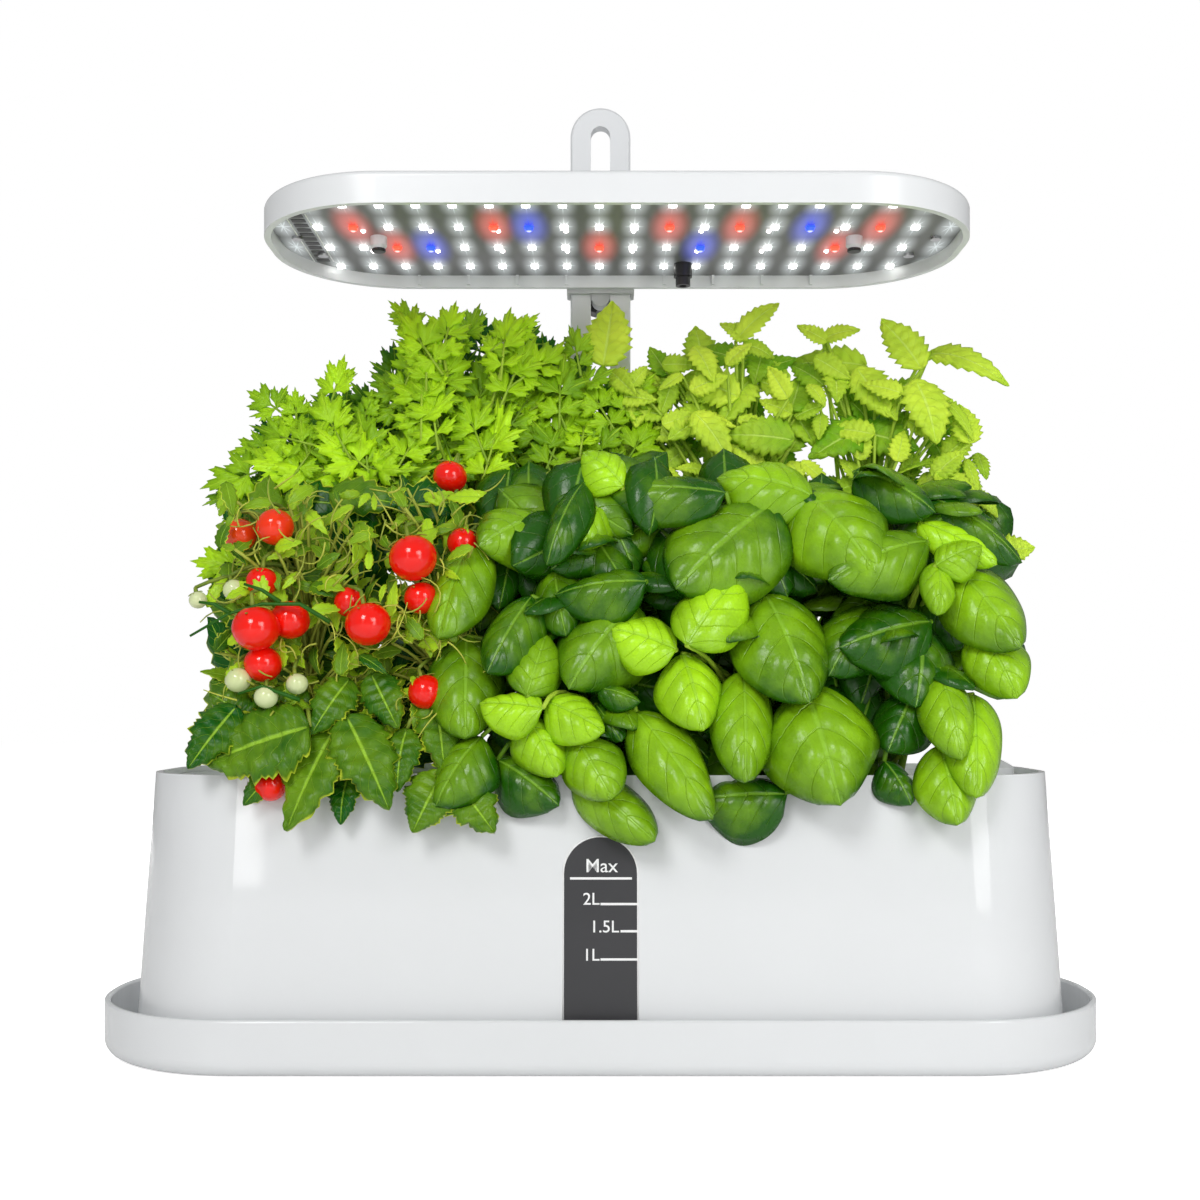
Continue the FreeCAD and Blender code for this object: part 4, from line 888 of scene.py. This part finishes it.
def balm_plants(leaf_material, stem_material):
    plants = [Plant("balm_1", 3, 1), Plant("balm_2", 4, 1)]
    for px, py, length_px, width_px, degrees, tone, depth in BALM_LEAVES:
        y = depth * MM
        base, along, normal = screen_leaf(px, py, length_px, degrees, y, swing(0.3), 0.45)
        plant = nearest(plants, base)
        width = px_size(width_px, y) * 1.05
        bend = 1.5 if width_px < 32 and length_px > 80 else draw(0.3, 1.0)
        blade = toothed_blade(along.length, width, bend, 0.10, 0.12, swing(0.5), rng.random(), 8, 0.30)
        plant.blades.leaf(blade, base, along, normal, tone)
        plant.hold(base, 0.75 * MM, 0.8, 0.2)
    for px, py in spots_in(BALM_MASS, 110, 16):
        # Leaves further back sit deeper and get a darker tone, as painted shade
        shade = rng.random()
        y = (24 - 20 * shade) * MM
        base, along, normal = screen_leaf(px, py, draw(26, 44), swing(180), y,
                                          swing(0.5), draw(0.1, 0.7))
        plant = nearest(plants, base)
        blade = toothed_blade(along.length, along.length * draw(0.6, 0.8), draw(0.2, 1.0), 0.08, 0.10,
                              swing(0.5), rng.random(), 7, 0.32)
        plant.blades.leaf(blade, base, along, normal, 0.75 * shade)
        plant.hold(base, 0.65 * MM, 0.8, 0.2)
    for which, plant in enumerate(plants):
        for k in range(4):
            foot = Vector((plant.x + swing(3) * MM, plant.y + swing(3) * MM, DECK_TOP - 6 * MM))
            top = seen_at(*BALM_TOPS[k * 2 + which], 16 * MM)
            plant.stems.tube(arc_path(foot, foot.lerp(top, 0.45) + Vector((0, 0, 0.02)), top, 12), 1.3 * MM,
                             0.8 * MM, 0.9)
        for k in range(26):
            turn = GOLDEN_TURN * k
            height = draw(0.13, 0.235)
            base = Vector((plant.x + math.cos(turn) * 0.008, plant.y + math.sin(turn) * 0.006, height))
            along = Vector((math.cos(turn) * 0.022, math.sin(turn) * 0.015, draw(-0.006, 0.010)))
            blade = toothed_blade(along.length, along.length * 0.7, draw(0.4, 1.0), 0.08, 0.08,
                                  swing(0.3), rng.random())
            plant.blades.leaf(blade, base, along, Vector((0, -0.3, 1)), draw(0.05, 0.4))
            plant.hold(base, 0.7 * MM, 0.6, 0.2)
        for k in range(34):    # leaves that cover the plant's back
            base = Vector((plant.x + draw(-0.027, 0.012), plant.y + draw(0.0, 0.012),
                           draw(0.140, 0.232)))
            along = Vector((swing(0.014), 0.008, draw(-0.014, 0.010)))
            blade = toothed_blade(along.length, along.length * 0.75, draw(0.4, 1.0), 0.08, 0.08,
                                  swing(0.4), rng.random(), 7, 0.3)
            plant.blades.leaf(blade, base, along, Vector((swing(0.3), 1, 0.5)), draw(0.1, 0.8))
        plant.finish(leaf_material, stem_material, 0.4)


def parsley_plants(leaf_material, stem_material):
    plants = [Plant("parsley_1", 0, 1), Plant("parsley_2", 1, 1), Plant("parsley_3", 2, 1)]

    def sprig(plant, base, along, normal, tone, size):
        """A leaf of five leaflets: one at the tip and two pairs below it."""
        unit = along.normalized()
        for share, degrees, part in ((0.55, 0, 1.0), (0.42, -58, 0.86), (0.42, 58, 0.86), (0.05, -66, 0.72),
                                   (0.05, 66, 0.72)):
            turned = Matrix.Rotation(math.radians(degrees + swing(9)), 3, normal.normalized()) @ unit
            blade = fan_blade(size * part, size * part * draw(0.85, 1.1), draw(-0.2, 0.9), 0.12,
                              swing(0.5))
            tilt = Vector((swing(0.5), swing(0.2), swing(0.4)))
            plant.blades.leaf(blade, base + unit * size * share * 1.5, turned, normal + tilt,
                              tone + swing(0.12))
        plant.stems.tube([base - unit * size * 0.4, base + unit * size * 0.4, base + unit * size * 0.9],
                         0.6 * MM, 0.45 * MM, tone, 5)

    def add(px, py, size_px, degrees, tone, depth, lean_up):
        y = depth * MM
        base, along, normal = screen_leaf(px, py, size_px, degrees, y, swing(0.45), lean_up)
        plant = nearest(plants, base)
        sprig(plant, base, along, normal, tone, px_size(size_px, y) * 0.58)
        return plant, base

    for px, py, size_px, degrees, tone, depth in PARSLEY_LEAVES:
        plant, base = add(px, py, size_px * 1.12, degrees, tone, depth, 0.4)
        plant.hold(base, 0.65 * MM, tone, 0.15)
    for px, py in spots_in(PARSLEY_MASS, 130, 16):
        outward = math.degrees(math.atan2(560 - py, px - 440)) + swing(45)
        # Sprigs further back sit deeper and get a darker tone, as painted shade
        shade = rng.random() ** 1.4
        add(px, py, draw(44, 66), outward, 0.75 * shade, 28 - 26 * shade, draw(0.1, 0.7))
    for k in range(40):
        plant = plants[k % 3]
        turn = GOLDEN_TURN * k
        height = draw(0.14, 0.24 if plant.node != "parsley_1" else 0.215)
        base = Vector((plant.x + math.cos(turn) * 0.012, plant.y + math.sin(turn) * 0.008, height))
        along = Vector((math.cos(turn), abs(math.sin(turn)) * 0.6, 0.5))
        sprig(plant, base, along, Vector((math.cos(turn) * 0.3, 0.5, 0.9)), draw(0.1, 0.5), 0.010)
        plant.hold(base, 0.6 * MM, 0.3, 0.15)
    for k in range(84):    # sprigs that cover the plants' backs
        plant = plants[k % 3]
        height = draw(0.145, 0.240 if plant.node != "parsley_1" else 0.215)
        base = Vector((plant.x + swing(0.027), plant.y + draw(0.000, 0.010), height))
        along = Vector((swing(0.6), 0.3, draw(-0.1, 0.9)))
        face = Vector((swing(0.4), 1, draw(0.1, 0.7)))
        sprig(plant, base, along, face, draw(0.1, 0.8), 0.0115)
    for plant in plants:
        plant.main_stem(DECK_TOP + 16 * MM, 2.0 * MM, 0.6, 0.001)
        plant.finish(leaf_material, stem_material, 0.4)


def berry(radius):
    """A cherry tomato: a ball pressed in a little at its top, with small shoulders."""
    bpy.ops.mesh.primitive_uv_sphere_add(segments=24, ring_count=14, radius=radius)
    ball = bpy.context.object
    for v in ball.data.vertices:
        out = math.hypot(v.co.x, v.co.y) / radius
        if v.co.z > 0:
            v.co.z -= 0.24 * radius * max(0.0, 1 - out / 0.42) ** 2
        v.co.z *= 0.95
        lobe = 1 + 0.012 * math.cos(4 * math.atan2(v.co.y, v.co.x))
        v.co.x *= lobe
        v.co.y *= lobe
    return ball


def tomato_plants(leaf_material, stem_material, skin):
    plants = [Plant("tomato_1", 0, 0), Plant("tomato_2", 1, 0)]
    plants[0].main_stem(0.190, 2.2 * MM, 0.5)
    plants[1].main_stem(0.200, 2.2 * MM, 0.5)
    for px, py, length_px, width_px, degrees, tone, depth in TOMATO_LEAVES:
        y = depth * MM
        base, along, normal = screen_leaf(px, py, length_px, degrees, y, swing(0.3), 0.5)
        plant = nearest(plants, base)
        blade = vine_blade(along.length, px_size(width_px, y) * 1.3, draw(0.3, 0.9), 0.10, 0.06,
                           swing(0.3), rng.random())
        plant.blades.leaf(blade, base, along, normal, tone * 0.6)
        plant.hold(base, 0.8 * MM, 0.4)
    for px, py in spots_in(TOMATO_MASS, 70, 22):
        y = draw(-22, -8) * MM
        base, along, normal = screen_leaf(px, py, draw(56, 84), swing(180), y,
                                          swing(0.6), draw(0.0, 0.6))
        blade = coarse_blade(along.length, along.length * draw(0.6, 0.8), draw(0.2, 0.9), 0.08, 0.08,
                             swing(0.4), rng.random())
        plant = nearest(plants, base)
        plant.blades.leaf(blade, base, along, normal, draw(-0.15, 0.25))
    for k in range(300):    # small leaves all over the two plants
        px, py = draw(215, 478), draw(495, 735)
        depth = draw(-52, -20)
        length_px = draw(16, 38)
        y = depth * MM
        base, along, normal = screen_leaf(px, py, length_px, draw(0, 360), y, swing(0.6), 0.4)
        plant = nearest(plants, base)
        blade = coarse_blade(along.length, along.length * draw(0.35, 0.6), draw(0.4, 1.4), 0.06, 0.1,
                             swing(0.8), rng.random())
        plant.blades.leaf(blade, base, along, normal, draw(0.1, 1.1))
        if k % 3 == 0:
            plant.hold(base, 0.6 * MM, 0.7, 0.2)
    for k in range(220):    # curled leaf stalks between them
        px, py = draw(232, 475), draw(488, 715)
        y = draw(-56, -26) * MM
        start = seen_at(px, py, y)
        plant = nearest(plants, start)
        a = draw(0, 2 * math.pi)
        reach = draw(0.006, 0.015)
        end = start + Vector((math.cos(a) * reach, swing(0.004), math.sin(a) * reach))
        lean = Vector((-math.sin(a), 0, math.cos(a))) * reach * swing(0.9)
        plant.stems.tube(arc_path(start, start.lerp(end, 0.5) + lean, end, 5), 0.42 * MM, 0.2 * MM,
                         draw(0.5, 1.0), 4)
    for route in TRUSSES:
        points = [seen_at(px, py, -58 * MM) for px, py in route]
        plants[0].stems.tube(points, 0.9 * MM, 0.5 * MM, -0.1, 6)
    fruits = {plant.node: [] for plant in plants}
    sepals = {plant.node: Foliage() for plant in plants}
    for px, py, radius_px, ripeness, depth in TOMATOES:
        y = depth * MM
        centre = seen_at(px, py, y)
        plant = nearest(plants, centre)
        r = px_size(radius_px, y)
        ball = berry(r)
        up = Vector((swing(0.4), draw(-0.1, 0.5), 1)).normalized()
        turn = Vector((0, 0, 1)).rotation_difference(up).to_matrix().to_4x4()
        ball.data.transform(Matrix.Translation(centre) @ turn)
        tone = ball.data.attributes.new("tone", "FLOAT", "POINT")
        tone.data.foreach_set("value", [ripeness] * len(ball.data.vertices))
        smooth(ball.data)
        fruits[plant.node].append(ball)
        crown = centre + up * r * 0.80
        side = up.orthogonal().normalized()
        for k in range(5):
            out = Matrix.Rotation(2 * math.pi * k / 5, 3, up) @ side
            blade = coarse_blade(r * 0.95, r * 0.24, -0.7 if k % 2 else 0.9, 0, 0.1, 0.2, 0.3)
            sepals[plant.node].leaf(blade, crown, out - up * 0.15, up, 0.5)
        hook = crown + up * r * 0.7 + Vector((0, 0.2 * r, 0))
        root = Vector((plant.x, plant.y, min(max(centre.z + 0.008, DECK_TOP + 0.01), 0.195)))
        plant.stems.tube(arc_path(root, hook.lerp(root, 0.4) + Vector((0, 0, 0.008)), hook, 7), 1.0 * MM,
                         0.7 * MM, 0.3)
        plant.stems.tube([hook, crown.lerp(hook, 0.5), crown - up * r * 0.08], 0.7 * MM, 0.9 * MM, 0.4)
    for plant in plants:
        plant.finish(leaf_material, stem_material, TOMATO_KEEP)
        for part, obj, material in (("fruit", join(fruits[plant.node]), skin),
                                    ("sepals", sepals[plant.node].made("sepals"), stem_material)):
            if part == "sepals":
                modify(obj, "SOLIDIFY", thickness=0.3 * MM, offset=0.0)
            settle(obj, plant.node + "_" + part, material, "deck")
            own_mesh(obj)


def wall_y(z):
    """Depth of the tank's front face at height z."""
    share = (z - TANK_LOW[2]) / (TANK_HIGH[2] - TANK_LOW[2])
    return -(TANK_BASE_HALF_Y + (TANK_RIM_HALF_Y - TANK_BASE_HALF_Y) * share)


WALL_TILT = math.atan2(TANK_BASE_HALF_Y - TANK_RIM_HALF_Y, TANK_HIGH[2] - TANK_LOW[2])


def on_wall(obj, x, z, proud):
    """Stands a flat piece against the sloping front wall."""
    obj.data.transform(Matrix.Translation((x, wall_y(z) - proud, z)) @ Matrix.Rotation(-WALL_TILT, 4, "X"))


def level_marks(paint):
    """Plain fill marks: lines and the words Max, 2L, 1.5L and 1L."""
    pieces = []
    for x0, x1, py in MARK_LINES:
        a, b = seen_at(x0, py, MARKS_Y), seen_at(x1, py, MARKS_Y)
        line = bar(0, 0, 0, b.x - a.x, 0.00016, 0.00085)
        on_wall(line, (a.x + b.x) / 2, a.z, 0.00010)
        pieces.append(line)
    for text, px, py, high_px in MARK_WORDS:
        bpy.ops.object.text_add()
        word = bpy.context.object
        word.data.body = text
        word.data.align_x = "CENTER"
        word.data.align_y = "CENTER"
        word.data.size = px_size(high_px, MARKS_Y) * 1.42
        word.data.extrude = 0.00008
        word.data.offset = 0.00003
        select_only(word)
        bpy.ops.object.convert(target="MESH")
        word = bpy.context.object
        word.data.transform(Matrix.Rotation(math.radians(90), 4, "X"))
        spot = seen_at(px, py, MARKS_Y)
        on_wall(word, spot.x, spot.z, 0.00010)
        pieces.append(word)
    settle(join(pieces), "level_marks", paint, "tank")


def window_trim(paint):
    """Thin light bead round the level window."""
    half = (WINDOW_HIGH[0] - WINDOW_LOW[0]) / 2
    top = WINDOW_HIGH[2]
    low = WINDOW_LOW[2]
    path = [(-half, low)]
    for k in range(0, 25):
        a = math.pi - math.pi * k / 24
        path.append((half * math.cos(a), top - half + half * math.sin(a)))
    path.append((half, low))
    bead = Foliage()
    bead.tube([(x, wall_y(z) + 0.00010, z) for x, z in path], 0.00038, 0.00038, 0.5, 6)
    settle(bead.made("window_trim"), "window_trim", paint, "tank")


def chip_domes(node, name, material, radius):
    """Small domed lenses under each chip of a CAD group, modelled once and copied."""
    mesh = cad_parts[node].data
    welded = bmesh.new()
    welded.from_mesh(mesh)
    bmesh.ops.remove_doubles(welded, verts=welded.verts, dist=1e-6)
    centres = []
    seen = set()
    for vert in welded.verts:
        if vert.index in seen:
            continue
        group = [vert]
        seen.add(vert.index)
        for v in group:
            for e in v.link_edges:
                other = e.other_vert(v)
                if other.index not in seen:
                    seen.add(other.index)
                    group.append(other)
        centres.append(sum((v.co for v in group), Vector()) / len(group))
    welded.free()
    bpy.ops.mesh.primitive_uv_sphere_add(segments=12, ring_count=8, radius=radius)
    ball = bpy.context.object
    select_only(ball)
    bpy.ops.object.mode_set(mode="EDIT")
    bpy.ops.mesh.select_all(action="SELECT")
    bpy.ops.mesh.bisect(plane_co=(0, 0, 0), plane_no=(0, 0, 1), use_fill=True, clear_outer=True)
    bpy.ops.object.mode_set(mode="OBJECT")
    copies = []
    for centre in centres:
        copy = ball.copy()
        copy.data = ball.data.copy()
        copy.data.transform(Matrix.Translation((centre.x, centre.y, BOARD_LOW - 0.0003)))
        bpy.context.collection.objects.link(copy)
        copies.append(copy)
    bpy.data.objects.remove(ball, do_unlink=True)
    made = join(copies)
    smooth(made.data)
    settle(made, name, material, "lamp")
    return centres


def board_pads(dark, paint):
    """The ladder of dark contact pads between two light lines at the board's left end."""
    z = BOARD_LOW - 0.00006
    pads = [bar(LAMP_X - 119.5 * MM, (-43 + 5.6 * k) * MM, z, 0.0052, 0.0034, 0.00016) for k in range(11)]
    lines = [bar(x, -15 * MM, z, 0.0005, 0.060, 0.00012)
             for x in (LAMP_X - 123.4 * MM, LAMP_X - 115.6 * MM)]
    settle(join(pads), "board_pads", dark, "lamp")
    settle(join(lines), "board_lines", paint, "lamp")


def post_caps(dark):
    """Dark ends with rounded edges on the two white posts under the board."""
    low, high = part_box("lamp_posts")
    caps = []
    for x in (low[0] + 3.2 * MM, high[0] - 3.2 * MM):
        bpy.ops.mesh.primitive_cylinder_add(vertices=32, radius=2.7 * MM, depth=1.2 * MM,
                                            location=(x, LAMP_Y, low[2] - 0.4 * MM))
        caps.append(bpy.context.object)
    cap = join(caps)
    modify(cap, "BEVEL", width=0.35 * MM, segments=3)
    settle(cap, "post_caps", dark, "lamp")


def stage():
    bpy.ops.mesh.primitive_plane_add(size=8, location=(0, 0, -0.0002))
    floor = bpy.context.object
    floor.name = "floor"
    floor.data.materials.append(floor_material())
    world = bpy.data.worlds.new("studio")
    bpy.context.scene.world = world
    world.use_nodes = True
    tree = world.node_tree
    back = tree.nodes["Background"]
    back.inputs["Color"].default_value = (1, 1, 1, 1)
    paths = tree.nodes.new("ShaderNodeLightPath")
    sight = tree.nodes.new("ShaderNodeMapRange")
    sight.inputs["To Min"].default_value = SKY_STRENGTH
    sight.inputs["To Max"].default_value = 1.0
    tree.links.new(paths.outputs["Is Camera Ray"], sight.inputs["Value"])
    tree.links.new(sight.outputs[0], back.inputs["Strength"])


def area_light(name, place, target, width, height, power, mirrored=True):
    light = bpy.data.lights.new(name, "AREA")
    light.shape = "RECTANGLE"
    light.size = width
    light.size_y = height
    light.energy = power
    obj = bpy.data.objects.new(name, light)
    obj.location = place
    obj.rotation_euler = (Vector(target) - Vector(place)).to_track_quat("-Z", "Y").to_euler()
    obj.visible_glossy = mirrored
    bpy.context.collection.objects.link(obj)


def lights():
    area_light("key", (-0.50, -1.35, 1.05), (0, 0, 0.16), 0.5, 0.5, 9.4)
    area_light("fill", (0.75, -1.1, 0.65), (0, 0, 0.18), 0.5, 0.5, 3.0)
    area_light("front", (0.0, -1.5, 0.42), (0, 0, 0.25), 1.2, 0.5, 1.6, False)
    area_light("left_strip", (-0.2575, -0.60, 0.245), (-0.130, -0.054, 0.16), 0.024, 0.40, 0.13)
    area_light("right_strip", (0.440, -0.574, 0.275), (0.140, -0.054, 0.15), 0.19, 0.50, 0.9)
    area_light("back", (0.45, 1.4, 0.8), (0, 0, 0.2), 0.9, 0.7, 7.0, False)
    area_light("back_fill", (-0.9, 1.1, 0.5), (0, 0, 0.2), 0.7, 0.7, 4.5, False)


def camera():
    data = bpy.data.cameras.new("camera")
    data.sensor_width = SENSOR_MM
    data.lens = LENS_MM
    data.shift_y = (HORIZON_PY - PICTURE / 2) / PICTURE
    data.shift_x = -(CENTRE_PX - PICTURE / 2) / PICTURE
    data.clip_start = 0.01
    obj = bpy.data.objects.new("camera", data)
    obj.location = (EYE_X, EYE_Y, EYE_Z)
    obj.rotation_euler = (math.radians(90), 0, 0)
    bpy.context.collection.objects.link(obj)
    bpy.context.scene.camera = obj


def dress_shells():
    """Materials of the CAD nodes that keep their shape, apart from the lit chips and their board."""
    white = (0.765, 0.78, 0.79)
    black = dark_plastic("black_plastic", (0.012, 0.012, 0.013), 0.4)
    cups = ["basket_%d" % k for k in range(1, 11)]
    for material, nodes in (
            (shell_plastic("white_shell_plastic", white), ["drip_tray", "water_tank"]),
            (shell_plastic("satin_shell_plastic", white, 0.26),
             ["grow_deck", "inlet_cover", "mast_socket", "lamp_housing"]),
            (shell_plastic("net_cup_plastic", (0.74, 0.74, 0.72), 0.4), cups),
            (shell_plastic("button_plastic", (0.72, 0.73, 0.74), 0.45),
             ["light_button", "pump_button", "lamp_posts"]),
            (powder_coat("mast_coat", (0.72, 0.735, 0.75)), ["mast"]),
            (dark_plastic("grey_clamp_plastic", (0.46, 0.47, 0.48), 0.45), ["lamp_bracket"]),
            (black, ["clamp_knob", "dc_jack", "button_switches", "pump_body", "pump_cover", "pump_impeller",
                     "pump_spout"]),
            (dark_plastic("foot_rubber", (0.02, 0.02, 0.02), 0.8), ["tank_feet"]),
            (brushed("screw_steel", (0.55, 0.55, 0.56), 0.3),
             ["socket_screws", "board_screws", "bracket_screws", "clamp_stud", "inlet_pin", "pump_shaft"]),
            (peat_sponge(), ["grow_sponges"]),
            (smoked_window(), ["level_window"])):
        for node in nodes:
            paint_node(node, material)
    return black


def dress_lamp(black, paint):
    glow = {"leds_white": (1.0, 1.0, 0.97), "leds_red": (1.0, 0.06, 0.03), "leds_blue": (0.02, 0.06, 1.0),
            "leds_small": (1.0, 0.85, 0.84)}
    spots = []
    for node, colour in glow.items():
        strength = 5.0 if node in ("leds_white", "leds_small") else 2.2
        radius = {"leds_small": 0.7, "leds_white": 1.15}.get(node, 1.8) * MM
        material = lit("lit_" + node[5:], colour, strength, radius)
        paint_node(node, material)
        centres = chip_domes(node, node + "_lenses", material, radius)
        # the board's painted coloured glow round the red and blue chips
        if node in ("leds_red", "leds_blue"):
            spots += [(c.x, c.y, tuple(0.78 * v for v in colour)) for c in centres]
    paint_node("led_board", board_metal(spots))
    board_pads(black, paint)
    post_caps(black)


bpy.context.scene.view_settings.view_transform = "Standard"
camera()
stage()
lights()
BLACK = dress_shells()
PAINT = mark_paint()
dress_lamp(BLACK, PAINT)
level_marks(PAINT)
window_trim(PAINT)
BASIL = veined_leaf("basil_leaf", (0.014, 0.095, 0.001), (0.46, 0.86, 0.012), (0.32, 0.62, 0.05),
                    4.5, 0.28, 0.12, 0.0010, painted_edge_shade=0.22)
BALM = veined_leaf("balm_leaf", (0.12, 0.36, 0.003), (0.78, 1.0, 0.07), (0.70, 0.95, 0.20),
                   7, 0.48, 0.2, shine=0.2)
PARSLEY = veined_leaf("parsley_leaf", (0.012, 0.13, 0.001), (0.56, 0.96, 0.012), (0.60, 0.92, 0.05),
                      3, 0.42, 0.10, shine=0.25)
TOMATO = veined_leaf("tomato_leaf", (0.004, 0.095, 0.002), (0.44, 0.72, 0.02), (0.40, 0.70, 0.05),
                     8, 0.34, 0.40, edge=(0.66, 0.80, 0.05), shine=0.25)
STALK = stalk_green("pale_stalk", (0.08, 0.24, 0.005), (0.46, 0.66, 0.05))
VINE = stalk_green("vine_stalk", (0.02, 0.12, 0.004), (0.55, 0.60, 0.08))
basil_plants(BASIL, STALK)
balm_plants(BALM, STALK)
parsley_plants(PARSLEY, STALK)
tomato_plants(TOMATO, VINE, fruit_skin())

bpy.context.view_layer.update()
